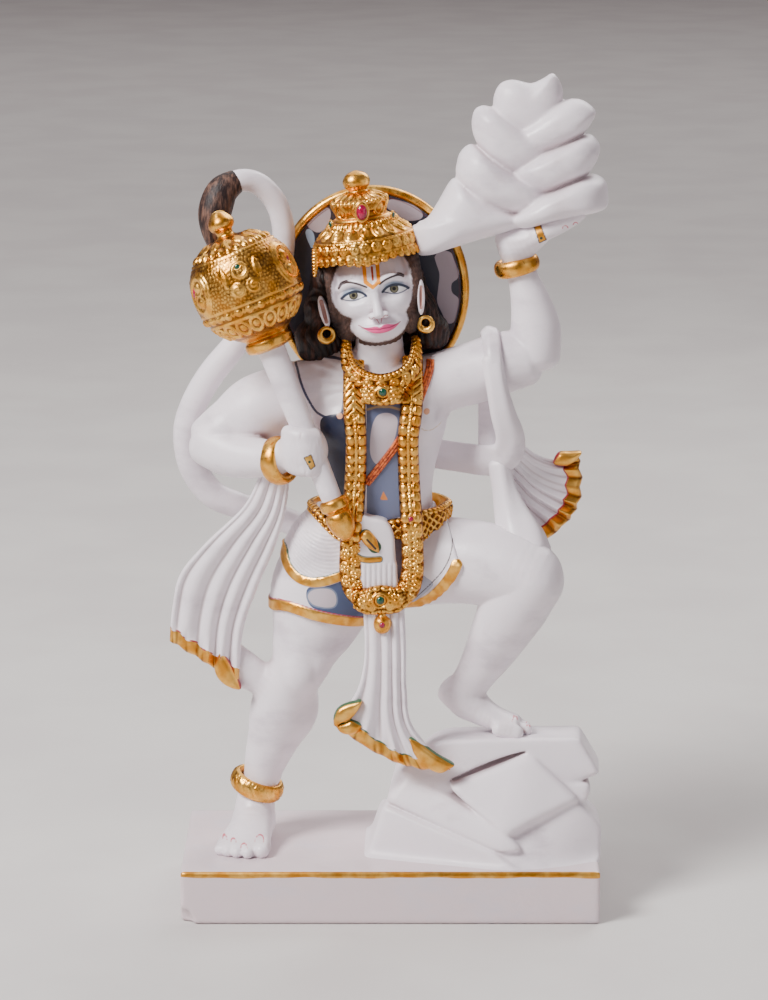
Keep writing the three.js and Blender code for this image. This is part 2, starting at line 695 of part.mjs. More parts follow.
function loincloth() {
  const edges = loinclothEdges.map((rows) => limb(rows, { sides: 16, dome: 0.05 }));
  return [...edges, limb(waistKnot, { sides: 8, steps: 5 })];
}

function tailAndTuft() {
  const strands = (along, angle) => 1 + 0.06 * Math.cos(tuftLocks * angle);
  return [limb(tail, { sides: 8, steps: 24 }), limb(tuft, { sides: 12, steps: 6, ripple: strands })];
}

function shawl() {
  return [
    limb(shawlBand, { sides: 8, steps: 11 }),
    limb(shawlOverArm, { sides: 6, steps: 10, deepAxis: [1, 0, 0] }),
    limb(shawlFold),
    limb(bridgeToLeg, { sides: 8 }),
    ...[shawlFan, leftSash, centreSash].map(cloth),
  ];
}

function rock() {
  return rockBlocks.map((corners) => solidOf(new ConvexGeometry(corners.map(vector))));
}

// Slab with its edges cut back a little and its front left corner chipped at the foot
function plinth() {
  const outline = (inset) => {
    const [x, y] = [plinthWidth / 2 - inset, plinthDepth / 2 - inset];
    return [[-x, -y], [x, -y], [x, y], [-x, y]];
  };
  const edge = plinthEdge;
  const levels = [[edge, 0], [0, edge], [0, plinthHeight - edge], [edge, plinthHeight]];
  const corners = levels.flatMap(([inset, z]) => outline(inset).map((corner) => [...corner, z]));
  const whole = corners.filter(([x, y, z]) => x > 0 || y > 0 || z > chipUp);
  const [left, front] = [-plinthWidth / 2, -plinthDepth / 2];
  const broken = [
    [left, front, chipUp], [left + chipAlong, front, edge], [left + chipAlong, front + edge, 0],
    [left, front + chipBack, edge], [left + edge, front + chipBack, 0],
  ];
  return solidOf(new ConvexGeometry([...whole, ...broken].map(vector)));
}

function joined(pieces) {
  return pieces.reduce((whole, piece) => whole.add(piece));
}

// The whole carving: the figure's drawn measures brought to size and set on the plinth
function carving() {
  const figure = joined([
    ...body(), ...legs(), ...feet(), ...arms(), ...hands(), ...head(), ...crown(), ...halo(), ...mace(),
    ...garland(), ...collar(), ...belt(), ...loincloth(), ...bangles.map((ring) => hoop(ring)),
    ...tailAndTuft(), ...shawl(), ...mountainLobes.map(boulder), ...rock(),
  ]);
  const above = figure.scale([share, share, share]).translate([0, 0, plinthHeight]);
  return plinth().add(above);
}

// Splits a mesh into its closed shells and gives back the corners of the largest one
function largestShell(corners) {
  const leader = new Map();
  const find = (i) => {
    let root = i;
    while ((leader.get(root) ?? root) !== root) root = leader.get(root);
    leader.set(i, root);
    return root;
  };
  for (let i = 0; i < corners.length; i += 3) {
    leader.set(find(corners[i + 1]), find(corners[i]));
    leader.set(find(corners[i + 2]), find(corners[i]));
  }
  const counts = new Map();
  for (const corner of corners) counts.set(find(corner), (counts.get(find(corner)) ?? 0) + 1);
  const [largest] = [...counts].sort((a, b) => b[1] - a[1])[0];
  const kept = [];
  for (let i = 0; i < corners.length; i += 3) {
    if (find(corners[i]) === largest) kept.push([corners[i], corners[i + 1], corners[i + 2]]);
  }
  return kept;
}

// Working copy of a closed mesh: its places, triangles, the triangles round each corner, and a
// quadric for each corner that measures how far a place lies from the planes that met there
class Shell {
  constructor(points, triangles) {
    this.places = [];
    for (let i = 0; i < points.length; i += 3) this.places.push(new THREE.Vector3().fromArray(points, i));
    this.triangles = triangles;
    this.around = this.places.map(() => new Set());
    this.quadrics = this.places.map(() => new THREE.Matrix4().multiplyScalar(0));
    triangles.forEach((triangle, i) => {
      const plane = this.planeOf(triangle);
      for (const corner of triangle) {
        this.around[corner].add(i);
        addPlane(this.quadrics[corner], plane);
      }
    });
    this.count = triangles.length;
  }

  planeOf([a, b, c]) {
    const [from, second, third] = [this.places[a], this.places[b], this.places[c]];
    const normal = second.clone().sub(from).cross(third.clone().sub(from)).normalize();
    return [normal.x, normal.y, normal.z, -normal.dot(from)];
  }

  heightOf([a, b, c]) {
    const [from, second, third] = [this.places[a], this.places[b], this.places[c]];
    const longest = Math.max(from.distanceTo(second), second.distanceTo(third), third.distanceTo(from));
    return second.clone().sub(from).cross(third.clone().sub(from)).length() / longest;
  }

  neighbours(corner) {
    const found = new Set([...this.around[corner]].flatMap((i) => this.triangles[i]));
    found.delete(corner);
    return found;
  }

  // Error of moving one corner onto another, with a little for length so that slivers go first
  cost(gone, kept) {
    const place = this.places[kept];
    const error = errorAt(this.quadrics[gone], place) + errorAt(this.quadrics[kept], place);
    return error + sliverWeight * place.distanceToSquared(this.places[gone]);
  }

  // Whether the two corners can merge with the mesh still closed and no triangle turned over
  canMerge(gone, kept) {
    const near = this.neighbours(kept);
    const shared = [...this.neighbours(gone)].filter((corner) => near.has(corner));
    if (shared.length !== 2 || onPlinth(this.places[gone])) return false;
    if (this.places[gone].distanceTo(this.places[kept]) < thinnest) return true;
    for (const i of this.around[gone]) {
      const triangle = this.triangles[i];
      if (triangle.includes(kept)) continue;
      const moved = triangle.map((corner) => (corner === gone ? kept : corner));
      const [height, movedHeight] = [this.heightOf(triangle), this.heightOf(moved)];
      if (movedHeight < Math.min(height, thinnest)) return false;
      const [before, after] = [this.planeOf(triangle), this.planeOf(moved)];
      const agree = before[0] * after[0] + before[1] * after[1] + before[2] * after[2];
      if (height > thinnest && agree < leastTurn) return false;
    }
    return true;
  }

  merge(gone, kept) {
    for (const i of this.around[gone]) {
      const triangle = this.triangles[i];
      if (triangle.includes(kept)) {
        for (const corner of triangle) if (corner !== gone) this.around[corner].delete(i);
        this.triangles[i] = null;
        this.count -= 1;
      } else {
        this.triangles[i] = triangle.map((corner) => (corner === gone ? kept : corner));
        this.around[kept].add(i);
      }
    }
    this.around[gone].clear();
    addQuadric(this.quadrics[kept], this.quadrics[gone]);
  }

  // The same triangle, told from its longest side
  fromLongestSide(triangle) {
    const place = (i) => this.places[triangle[i % 3]];
    const lengths = triangle.map((_, i) => place(i).distanceTo(place(i + 1)));
    const longest = lengths.indexOf(Math.max(...lengths));
    return [0, 1, 2].map((i) => triangle[(longest + i) % 3]);
  }

  // Turns the longest side of each needle-thin triangle, so that its neighbour takes its place
  turnSlivers() {
    this.triangles.forEach((triangle, i) => {
      if (!triangle || this.heightOf(triangle) > thinnest) return;
      const [a, b, c] = this.fromLongestSide(triangle);
      const other = [...this.around[a]].find((j) => j !== i && this.around[b].has(j));
      const d = this.triangles[other].find((corner) => corner !== a && corner !== b);
      const turned = [[a, d, c], [d, b, c]];
      const thinner = Math.min(...turned.map((corners) => this.heightOf(corners))) < this.heightOf(triangle);
      if (thinner || this.neighbours(c).has(d)) return;
      this.triangles[i] = turned[0];
      this.triangles[other] = turned[1];
      this.around[b].delete(i);
      this.around[a].delete(other);
      this.around[d].add(i);
      this.around[c].add(other);
    });
  }

  // Opens the needles that couldn't be turned
  openSlivers() {
    for (const triangle of this.triangles) {
      if (triangle && this.heightOf(triangle) < touching) this.drawIn(this.fromLongestSide(triangle)[2]);
    }
  }

  // Draws apart corners that touch without being joined, each towards the middle of its neighbours
  partTouching() {
    const live = this.places.map((_, i) => i).filter((i) => this.around[i].size > 0);
    live.sort((a, b) => this.places[a].x - this.places[b].x);
    live.forEach((corner, i) => {
      for (let j = i + 1; j < live.length; j++) {
        const gap = this.places[live[j]].clone().sub(this.places[corner]);
        if (gap.x > thinnest) break;
        if (gap.length() > touching) continue;
        this.drawIn(corner);
        this.drawIn(live[j]);
      }
    });
  }

  drawIn(corner) {
    const near = [...this.neighbours(corner)];
    const middle = new THREE.Vector3();
    for (const other of near) middle.addScaledVector(this.places[other], 1 / near.length);
    this.places[corner] = this.places[corner].clone().lerp(middle, drawInShare);
  }

  geometry() {
    const corners = this.triangles.filter((triangle) => triangle).flat();
    const used = [...new Set(corners)];
    const order = new Map(used.map((corner, i) => [corner, i]));
    const geometry = new THREE.BufferGeometry();
    geometry.setFromPoints(used.map((corner) => this.places[corner]));
    geometry.setIndex(corners.map((corner) => order.get(corner)));
    return geometry;
  }

  // One round of merges over the cheapest edges, none of them side by side
  mergeCheapest(limit) {
    const edges = [];
    for (const triangle of this.triangles) {
      if (!triangle) continue;
      triangle.forEach((from, i) => {
        const to = triangle[(i + 1) % 3];
        edges.push([this.cost(from, to), from, to]);
      });
    }
    edges.sort((a, b) => a[0] - b[0]);
    const busy = new Set();
    for (const [, gone, kept] of edges.slice(0, edges.length * shareEachRound)) {
      if (this.count <= limit) return;
      if (busy.has(gone) || busy.has(kept) || !this.canMerge(gone, kept)) continue;
      for (const corner of this.neighbours(gone)) busy.add(corner);
      busy.add(gone);
      this.merge(gone, kept);
    }
  }
}

// Whether a corner is one of the plinth's own, which all stay
function onPlinth({ x, y, z }) {
  const reach = plinthEdge + touching;
  const atCorner = Math.abs(x) > plinthWidth / 2 - reach && Math.abs(y) > plinthDepth / 2 - reach;
  return z < plinthHeight - plinthEdge / 2 || (atCorner && z < plinthHeight + touching);
}

function addPlane(quadric, [a, b, c, d]) {
  const row = [a, b, c, d];
  for (let i = 0; i < 4; i++) for (let j = 0; j < 4; j++) quadric.elements[4 * i + j] += row[i] * row[j];
}

function addQuadric(quadric, other) {
  other.elements.forEach((value, i) => {
    quadric.elements[i] += value;
  });
}

function errorAt(quadric, place) {
  const q = quadric.elements;
  const { x, y, z } = place;
  return q[0] * x * x + q[5] * y * y + q[10] * z * z + q[15]
    + 2 * (q[1] * x * y + q[2] * x * z + q[3] * x + q[6] * y * z + q[7] * y + q[11] * z);
}

// Geometry of a joined solid, its slivers folded away until it has few enough triangles
function geometryOf(solid) {
  const { vertProperties, triVerts } = solid.getMesh();
  const shell = new Shell(vertProperties, largestShell(triVerts));
  for (let round = 0; round < roundsAtMost && shell.count > mostTriangles; round++) {
    shell.turnSlivers();
    shell.mergeCheapest(mostTriangles);
  }
  shell.turnSlivers();
  const thinned = shell.geometry();
  const cleaned = solidOf(thinned).getMesh();
  const last = new Shell(cleaned.vertProperties, largestShell(cleaned.triVerts));
  last.partTouching();
  last.openSlivers();
  return last.geometry();
}

const marble = new THREE.MeshStandardMaterial({ color: 0xe4dfe6, roughness: 0.35, metalness: 0 });
const surface = geometryOf(carving());
surface.computeVertexNormals();
const statue = new THREE.Mesh(surface, marble);
statue.name = 'hanuman_statue';

const part = new THREE.Group();
part.name = 'hanuman_figure';
part.add(statue);

export default part;
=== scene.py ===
"""Finish and fine carving of a white marble Hanuman with gold leaf and paint, on its plinth.

Places and sizes are the drawn millimetres of the solid: heights from the plinth's top face, +X to the
viewer's right, -Y towards the viewer. They become metres where a mesh is made.
"""

import math
from collections import namedtuple

import bmesh
import bpy
import numpy as np
import openvdb
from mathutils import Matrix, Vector


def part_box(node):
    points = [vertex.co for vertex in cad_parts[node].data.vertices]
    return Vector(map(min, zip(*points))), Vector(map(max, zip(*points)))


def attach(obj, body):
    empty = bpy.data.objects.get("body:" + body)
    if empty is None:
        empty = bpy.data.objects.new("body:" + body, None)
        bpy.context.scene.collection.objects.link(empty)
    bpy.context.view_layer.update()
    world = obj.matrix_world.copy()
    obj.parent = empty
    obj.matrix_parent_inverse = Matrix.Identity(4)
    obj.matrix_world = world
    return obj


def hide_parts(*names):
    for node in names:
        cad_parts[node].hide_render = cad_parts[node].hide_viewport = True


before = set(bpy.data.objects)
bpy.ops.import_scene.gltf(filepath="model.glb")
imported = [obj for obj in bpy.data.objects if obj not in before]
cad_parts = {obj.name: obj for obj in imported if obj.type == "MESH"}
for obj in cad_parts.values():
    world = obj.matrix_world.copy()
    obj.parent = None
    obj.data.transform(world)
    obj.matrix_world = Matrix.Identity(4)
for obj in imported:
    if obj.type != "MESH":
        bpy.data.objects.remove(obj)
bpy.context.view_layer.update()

# The frame's node and body, and the scale from drawn millimetres to metres
NODE = "hanuman_statue"
BODY = "root"
PLINTH = (305, 152, 40)
DRAWN_HEIGHT = 570
PLINTH_TOP = PLINTH[2] / 1000
SCALE = (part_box(NODE)[1].z - PLINTH_TOP) / DRAWN_HEIGHT

# Camera: distance and height angle over the target, and the lens that frames the figure
CAMERA_DISTANCE = 2.6
CAMERA_ELEVATION = math.radians(12.5)
CAMERA_LENS = 128.4
CAMERA_TARGET = Vector((-0.0045, 0, 0.2992))

# Studio: half side of the floor in metres, and lamps by name, place, size, power in watts and tint
FLOOR_REACH = 14
LAMPS = [
    ("key", (-1.8, -1.4, 2.3), 1.1, 168, (1, 0.98, 0.97)),
    ("fill", (1.9, -1.7, 0.9), 1.6, 8, (0.96, 0.94, 1)),
    ("back", (0.9, 1.5, 1.7), 1.2, 22, (1, 0.98, 0.96)),
    ("above", (0, 4, 6), 8, 280, (1, 0.98, 0.98)),
]
WORLD_TINT = (1, 0.84, 0.87, 1)
WORLD_STRENGTH = 0.2

# Sizes shared by several parts
HEAD_LEAN = math.radians(8.8)
FACE_MIDDLE = np.array([-11.8, 0, 418.1])
HALO_MIDDLE = np.array([-13.2, 30, 409.5])
HALO_HALF = (71, 77)
HALO_THICKNESS = 9
HALO_RIM = 3.6
HALO_FACE = 3
MACE_MIDDLE = np.array([-102.2, -34, 422])
MACE_AXIS = np.array([0.37, -0.0952, -0.9241])
MACE_RADIUS = 39
CROWN_FOOT = np.array([-15.5, -1, 434])
CROWN_LEAN = math.radians(8.5)
CROWN_DEPTH_SHARE = 0.88
FAR = 1e3

# Meshes with more points than the first are thinned to a share of their triangles, though not where
# paint starts within so many edge lengths
THIN_ABOVE = 12000
THIN_SHARE = 0.44
THIN_REACH = 1.5

# Rows of body and limbs: x, y, z of the ring's middle, half width in the picture, half depth
TORSO = [
    (-14, 2, 190, 44, 30), (-14, 1, 203, 56, 36), (-13, 0, 216, 61, 38), (-10, 0, 230, 56, 37),
    (-7, -1, 245, 44, 33), (-6, -2, 260, 36.5, 30), (-7, -2, 280, 39, 30), (-8, -1, 300, 45, 33),
    (-9, -1, 318, 51, 35), (-12, 1, 334, 55, 33), (-15, 3, 348, 50, 28), (-12, 3, 360, 30, 21),
]
NECK = [(-9, 3, 350, 22, 20), (-7, 1, 364, 17.5, 18), (-8, -1, 378, 17, 18), (-10, -2, 392, 17, 18)]
STANDING_LEG = [
    (-38, 2, 214, 38, 36), (-48, 0, 190, 38.5, 35), (-56, -2, 166, 32, 31), (-62.5, -5, 149, 25, 26),
    (-67.5, -7, 134, 20, 22), (-75, -3, 117, 20.5, 20), (-80.5, 3, 99, 23.5, 22),
    (-85.7, 6, 80, 20, 18.5), (-92, 9, 61, 16.2, 15.5), (-95.5, 10, 46, 13.8, 14.5),
    (-100, 9, 30, 14, 16), (-101.5, 6, 12, 15, 19),
]
STANDING_FOOT = [
    (-100, 26, 8, 10, 9), (-100.5, 14, 12, 13, 14), (-101.5, 0, 14, 15, 15), (-104, -14, 11, 17, 12.5),
    (-107.5, -28, 7, 19.5, 8.5), (-109.5, -38, 4, 20, 5.5),
]
RAISED_THIGH = [
    (-8, 4, 212, 36, 34), (22, 0, 214, 33, 32), (48, -8, 216, 31.5, 31), (74, -18, 215, 30, 29),
    (94, -26, 211, 27, 26), (106, -29, 207, 19, 21),
]
RAISED_SHIN = [
    (101, -28, 210, 22, 24), (92, -25, 190, 25.5, 24), (84, -19, 172, 23, 22), (74, -11, 150, 19, 18.5),
    (64, -5, 131, 15, 15), (57, 0, 116, 13.3, 13.5), (60, -1, 104, 12, 13.5),
]
RAISED_FOOT = [
    (43, 4, 115.5, 10.5, 11), (55, 1, 108, 12.5, 13), (68, -4, 100.5, 10.5, 14), (80, -7, 95.5, 8, 15),
    (92, -9, 92.5, 6.2, 16),
]
RIGHT_UPPER_ARM = [
    (-46, 3, 338, 20, 22), (-66, 3, 338, 24, 25), (-82, 3, 332, 25, 25), (-98, 2, 324, 24, 24),
    (-116, 1, 313, 21.5, 22), (-131, 0, 303, 18.5, 19.5),
]
RIGHT_FOREARM = [
    (-131, 0, 303, 18.5, 19), (-118, -10, 298, 18, 18), (-104, -20, 296, 16, 16.5),
    (-90, -30, 297, 13.5, 14), (-80, -37, 299, 12.5, 13),
]
LEFT_UPPER_ARM = [
    (18, 3, 342, 22, 24), (42, 3, 348, 22, 24), (62, 2, 354, 22.5, 23), (82, 1, 361, 22.5, 23),
    (98, 0, 365, 20.5, 21),
]
LEFT_FOREARM = [
    (103.5, 0, 367, 19.5, 20), (105, 0, 386, 18.3, 18), (101, 0, 406, 14.5, 15), (95.5, 0, 424, 11, 12),
    (91.5, 0, 438, 11.5, 12.5), (89, 0, 452, 13.5, 16),
]
RAISED_PALM = [
    (87, -1, 447, 12.5, 16), (99, -2, 453, 11.5, 19), (112, -3, 461, 8.5, 19), (123, -3, 466, 7, 16),
]
TAIL_RADIUS = 8.6
TAIL = [
    (-52, 26, 228, 1.1), (-82, 36, 238, 1.1), (-110, 34, 247, 1.15), (-132, 31, 258, 1.2),
    (-145, 28, 279, 1.25), (-149, 26, 304, 1.2), (-144, 25, 325, 1.15), (-131, 24, 348, 1.15),
    (-114, 23, 369, 1.1), (-97, 21, 391, 1.05), (-84, 20, 415, 1), (-78, 20, 438, 0.97),
    (-77.5, 20, 458, 0.95), (-83, 19, 476, 0.95), (-95, 16, 489, 0.95), (-108, 12, 492, 0.95),
    (-119, 9, 486, 1),
]
TUFT = [
    (-112, 11, 491, 9, 9), (-121, 8, 484, 11.5, 11), (-126, 5, 470, 12, 12), (-127, 3, 456, 9, 10),
    (-127, 1, 444, 3.5, 5),
]

# Lumps laid over them: x, y, z of the middle, half width, half depth, half height, lean in degrees
CHEST = [(-31, -20, 322, 21, 14, 15, 0), (14, -20, 323, 20, 14, 15, 0)]
BELLY = [(-26, -14, 272, 13, 17, 34, 0), (11, -14, 272, 13, 17, 34, 0)]
KNEES_AND_CALF = [
    (-66.5, -25, 135.5, 9.5, 7, 12.5, 0), (-55, -14, 140, 9, 12, 14, 20), (-72, 8, 104, 18, 17, 26, 0),
    (105, -30, 208, 20.5, 22, 23, 0),
]
SLEEVE = [(-97, 3, 327, 27, 27, 23, -27)]
FIST = [(-62, -44, 306, 17.5, 15, 19.5, -8)]
FIST_RING = [(-61.3, 303.4), (-56.3, 305.4), (-53.6, 296.9), (-56.7, 294.7)]
FIST_RING_STONE = (-57.5, 300.3)
PALM_RING = [(101.9, 464.7), (106, 466.2), (110.9, 454.2), (106.1, 451.9)]
PALM_RING_STONE = (107.3, 455.5)
PALM_NAILS = [(124.3, 462.4, 2), (131.7, 464.9, 1.7)]
STANDING_TOES = [
    (-94.5, -47, 1.25), (-104.5, -48, 1), (-112.5, -46, 0.95), (-119.5, -43, 0.9), (-125, -39, 0.85),
]
RAISED_TOES = [(98, -23, 1.25), (105, -14, 1), (104, -6, 0.95), (101, 1, 0.9), (97, 7, 0.85)]
TOE_RADIUS = 4.4

# Garland: x, z and half width from one shoulder round to the other, its length, and its raised clasp
GARLAND_ROWS = [
    (-26, 366, 7.5), (-26, 345, 8), (-25.5, 328, 8), (-24.5, 312, 7.6), (-25, 284, 7.8), (-27, 256, 8),
    (-28.5, 232, 8), (-28, 212, 8.4), (-22.5, 199.5, 8.6), (-7, 193.5, 8.6), (9.5, 199.5, 8.6),
    (15.5, 212, 8.2), (16, 232, 8), (15, 256, 8), (13.4, 284, 7.8), (12.8, 312, 7.6), (14.5, 328, 8),
    (15.8, 345, 8), (16, 366, 7.5),
]
GARLAND_LENGTH = 393
CLASP_ROWS = [
    (-25, -46.5, 197, 7), (-16, -48, 195.5, 10), (-6.7, -48.5, 197, 10.5), (2.5, -48, 196.5, 10),
    (11, -46, 199.5, 7),
]
CLASP_LENGTH = 36.5

# Collar round the neck and the block that hangs from it: x, y, z and half width
COLLAR_ROWS = [
    (-31.5, -8, 380, 3.4), (-31.5, -18, 372, 4.4), (-28.5, -27, 362.5, 6), (-20, -34, 355.5, 7),
    (-7, -37, 352.5, 7.4), (6.5, -34, 355.5, 7), (15.5, -27, 362.5, 6), (18.5, -18, 372, 4.4),
    (18.5, -8, 380, 3.4),
]
COLLAR_BLOCK = [
    (-20.3, -37, 344.5, 6), (-13, -38.5, 345, 7.4), (-5.6, -39, 345, 8), (1.5, -38.5, 345, 7.4),
    (8.6, -37, 344.5, 6),
]

# Belt: x, y, z and half width; in front only x, z and half width, since there it lies on the cloth
BELT_BACK = [
    (-7, 35, 256, 5), (-34, 27, 257, 5), (-50, 12, 256, 4.6), (-56, -6, 257, 4.3),
    (-53.5, -20, 256.5, 4.2),
]
BELT_FRONT = [
    (-48, 252.3, 4.2), (-43, 247.2, 4.2), (-38, 242.6, 4.2), (-33.6, 240.6, 4.4), (-28, 240, 5),
    (-14, 241, 5.5), (-2, 246, 6.5), (8, 246, 8.5), (18, 245, 11), (25, 247.5, 11),
]
BELT_RIGHT = [
    (34, -20, 249.5, 10), (39, -8, 252, 8), (41, 4, 253.5, 6.4), (33, 20, 255, 5.4), (12, 33, 256, 5),
    (-7, 35, 256, 5),
]
HIP_LUMP = (-47, -2, 232, 19, 29, 26, 35)
KNOT = [
    (-25.5, 257.5), (-19, 257.8), (-14, 256), (-8, 255), (-2.5, 252.8), (1.2, 247.5), (3.1, 239.8),
    (3.8, 228), (4.6, 214), (4.6, 204), (-20, 204), (-21.5, 222), (-27, 229), (-31.5, 240), (-30, 250),
]
BUD = [
    (-17.6, -46, 243.6, 4.4, 4), (-14.4, -46.8, 239.6, 4.8, 4.2), (-11, -46.4, 235, 3, 3),
    (-8.3, -45.6, 231.2, 0.6, 1.2),
]
BUD_SLOT = [(-16.6, 241.4), (-13.6, 238.2), (-10.6, 234.4)]
KNOT_LINE = [(-31.5, 243), (-28.6, 233.4), (-23.8, 227.6), (-17.1, 225.5), (-7.7, 226)]

# Rings: middle, the way the hole points, radius, half thickness, and half width of a broad band
BANGLES = [
    ((-79.5, -33.5, 296), (0.8, -0.55, 0.2), 14.2, 3.6, 7), ((91, 0, 432), (-0.27, 0, 1), 13, 3.8, 6),
    ((-99, 9, 41), (0.38, -0.1, 1), 16.6, 3.4, 7),
]
EARRINGS = [((-45.6, -15, 384.4), (0.2, -1, 0), 4.8, 1.9), ((25.4, -13, 392), (-0.2, -1, 0), 4.8, 1.9)]

# Stones: linear colours, the front ones by name with place, radius and colour, and the pendant
EMERALD = (0.0, 0.07, 0.035, 1)
RUBY = (0.4, 0.001, 0.05, 1)
FRONT_GEMS = {
    "garland_green_gem": ((-7.1, -53.6, 197.4), 3.1, EMERALD),
    "garland_red_gem": ((14.6, -46.2, 255.6), 2.2, RUBY),
    "pendant_red_gem": ((-5.8, -54.6, 179.4), 2.2, RUBY),
    "collar_green_gem": ((-5.3, -43.3, 347.7), 3.1, EMERALD),
}
PENDANT_PLACE = (-5.8, -48, 179)
PENDANT_PROFILE = [
    (0, -7.5), (2.5, -7.2), (5.2, -5), (6.4, -1), (5.8, 3), (3.2, 5.6), (2.6, 7), (1.6, 9), (0, 9.5),
]

# Turned pieces: rows of radius and distance along the axis
CROWN_PROFILE = [
    (0, 4.5), (35.5, 4.5), (37.3, 7), (37.6, 12), (36.5, 17.5), (35, 21.5), (31, 24.5), (26.5, 28),
    (24, 31.5), (20.5, 33.5), (17.4, 35), (17, 37), (18.2, 40.5), (20, 44.5), (19.3, 47), (15, 49.5),
    (9, 51.8), (6.5, 53.5), (9.3, 57), (9.7, 61), (7, 65), (2, 67.3), (0, 67.5),
]
CROWN_GEMS = [
    ("crown_ruby", (-20.3, -24.5, 474), (4.1, 5.9), RUBY),
    ("crown_left_gem", (-42.3, -13, 463.8), (2.2, 2.4), EMERALD),
    ("crown_right_gem", (1.6, -13, 470.6), (2.2, 2.4), EMERALD),
]
MACE_HEAD_PROFILE = [
    (0, -57), (3.5, -56.2), (6, -53.5), (8.4, -50), (8.6, -46.5), (6, -42), (7.5, -38.5), (17.5, -36.3),
    (28.1, -28.9), (35.1, -19.5), (38.3, -7.8), (38.7, 3.1), (36.4, 13.3), (31, 23.4), (22.6, 32),
    (16.4, 36.5), (15.6, 38), (17, 40), (17.2, 43), (15.8, 46), (9, 48), (0, 48.5),
]
SHAFT_PROFILE = [(0, 46), (9.8, 46), (10, 50), (8.7, 107), (7.3, 165), (7, 168), (0, 168)]
SHAFT_CAP_PROFILE = [
    (0, 163), (7, 163), (9.8, 164.6), (10.4, 167.5), (10, 170.6), (7.4, 172.4), (7.2, 173.4),
    (9, 174.6), (10, 177.4), (9.8, 181), (8.8, 185.5), (6.8, 190), (3.6, 194), (0, 195.5),
]

MACE_GEMS = [
    ("mace_green_gem", (-107.4, 442), (2.4, 2.6), EMERALD),
    ("mace_left_gem", (-138, 420), (1.9, 4), RUBY), ("mace_right_gem", (-73.9, 445.7), (1.9, 4), RUBY),
]

# Rows of the shawl's ribbons, and of the marble between the left sash and the leg
SHAWL_BAND = [
    (-14, 8, 293, 8, 4), (2, 19, 292, 10, 4.5), (24, 26, 290, 11, 5), (50, 18, 288, 11, 5.5),
    (70, 7, 288, 11.5, 6), (83, -6, 294, 11.5, 6.5), (86.5, -15, 308, 10.5, 6.5), (81, -23, 328, 9, 6),
    (76, -26, 350, 7.5, 5.5), (73, -22, 368, 7.5, 5),
]
SHAWL_OVER_ARM = [
    (76, -24, 350, 5, 7), (74, -22, 369, 5, 6.5), (73, -12, 379, 5, 6.5), (72, 0, 383, 5, 6.5),
    (72, 13, 378, 5, 6.5), (72, 22, 365, 5, 7), (72, 24, 345, 5, 8), (72.5, 20, 320, 5, 8.5),
    (72, 12, 296, 5, 8),
]
SHAWL_FOLD = [
    (79, -2, 286, 8, 8), (83, -6, 268, 9, 9), (89, -11, 250, 13, 11), (95, -17, 236, 17, 14),
    (99, -22, 224, 18, 16),
]
BRIDGE_TO_LEG = [
    (-117, -8, 138, 17, 6), (-108, -7, 133.5, 14.5, 7), (-97, -5, 127, 12, 8), (-82, -3, 120, 12, 10),
]

# Hanging cloths by their two edges, number and depth of folds, sag, and ruffles in the hem
Cloth = namedtuple("Cloth", "left right folds depth sag ruffles")
LEFT_SASH = Cloth(
    [
        (-94, -24, 284), (-106, -23, 260), (-134, -20, 232), (-153, -17, 208), (-159, -15, 182),
        (-161.3, -13, 157),
    ],
    [
        (-72, -24, 284), (-76, -22, 255), (-83, -20, 231), (-96.5, -16, 198), (-107.5, -13, 165),
        (-111, -10, 124),
    ],
    4, 5.5, 0, 5,
)
CENTRE_SASH = Cloth(
    [(-20, -42, 196), (-18.5, -44, 166), (-19.5, -45, 146), (-25, -46, 127), (-41, -47, 103)],
    [(10, -42, 196), (11.5, -44, 160), (12, -44, 128), (17, -43, 100), (44, -42, 67)],
    4, 5.5, 11, 7,
)
SHAWL_FAN = Cloth(
    [(86, 4, 306), (96, 6, 300), (107, 10, 291.5), (121, 14, 286.5), (138, 16, 288)],
    [(80, 4, 276), (89, 7, 262), (98, 10, 248), (106, 12, 238), (114, 14, 226)],
    5, 5.5, 13, 6,
)
CLOTH_THICKNESS = 10
HEM_WIDTH = 11
RUFFLE_DEPTH = 2.8

# Turned-over corners of the cloths: outline, front and back depth, and how many corners have a painted line
Flap = namedtuple("Flap", "outline front back lined")
LEFT_SASH_FLAP = Flap(
    [
        (-126.6, 145), (-124.4, 151.3), (-120.8, 147.2), (-115.7, 138), (-111.4, 128.9),
        (-109.2, 121.4), (-113.7, 120.8), (-121, 124), (-126.8, 130), (-129, 138),
    ],
    -20, -9, 6,
)
CENTRE_SASH_FLAPS = [
    Flap(
        [
            (-41.2, 109), (-38.7, 115.7), (-32.7, 119.9), (-20.8, 122.8), (-22.8, 116), (-27.9, 109.2),
            (-35, 105.4), (-40, 103),
        ],
        -56.5, -46, 4,
    ),
    Flap(
        [
            (-39, 104), (-33, 105.8), (-27.9, 107.6), (-20.7, 104), (-23, 98.4), (-30, 96.4),
            (-36.5, 98.4),
        ],
        -55, -46, 4,
    ),
    Flap(
        [
            (13.4, 93.6), (21.6, 90.2), (33.7, 81), (46.6, 73.2), (43, 69.2), (35.6, 66.3), (24.1, 72),
            (16.8, 81), (14.2, 88),
        ],
        -51.5, -41, 4,
    ),
]
SHAWL_FAN_FLAP = Flap(
    [
        (129.8, 283), (120.4, 283.7), (119.3, 286.8), (123.2, 293), (131, 293.6), (139.6, 293.6),
        (137.6, 289),
    ],
    4.5, 16, 4,
)

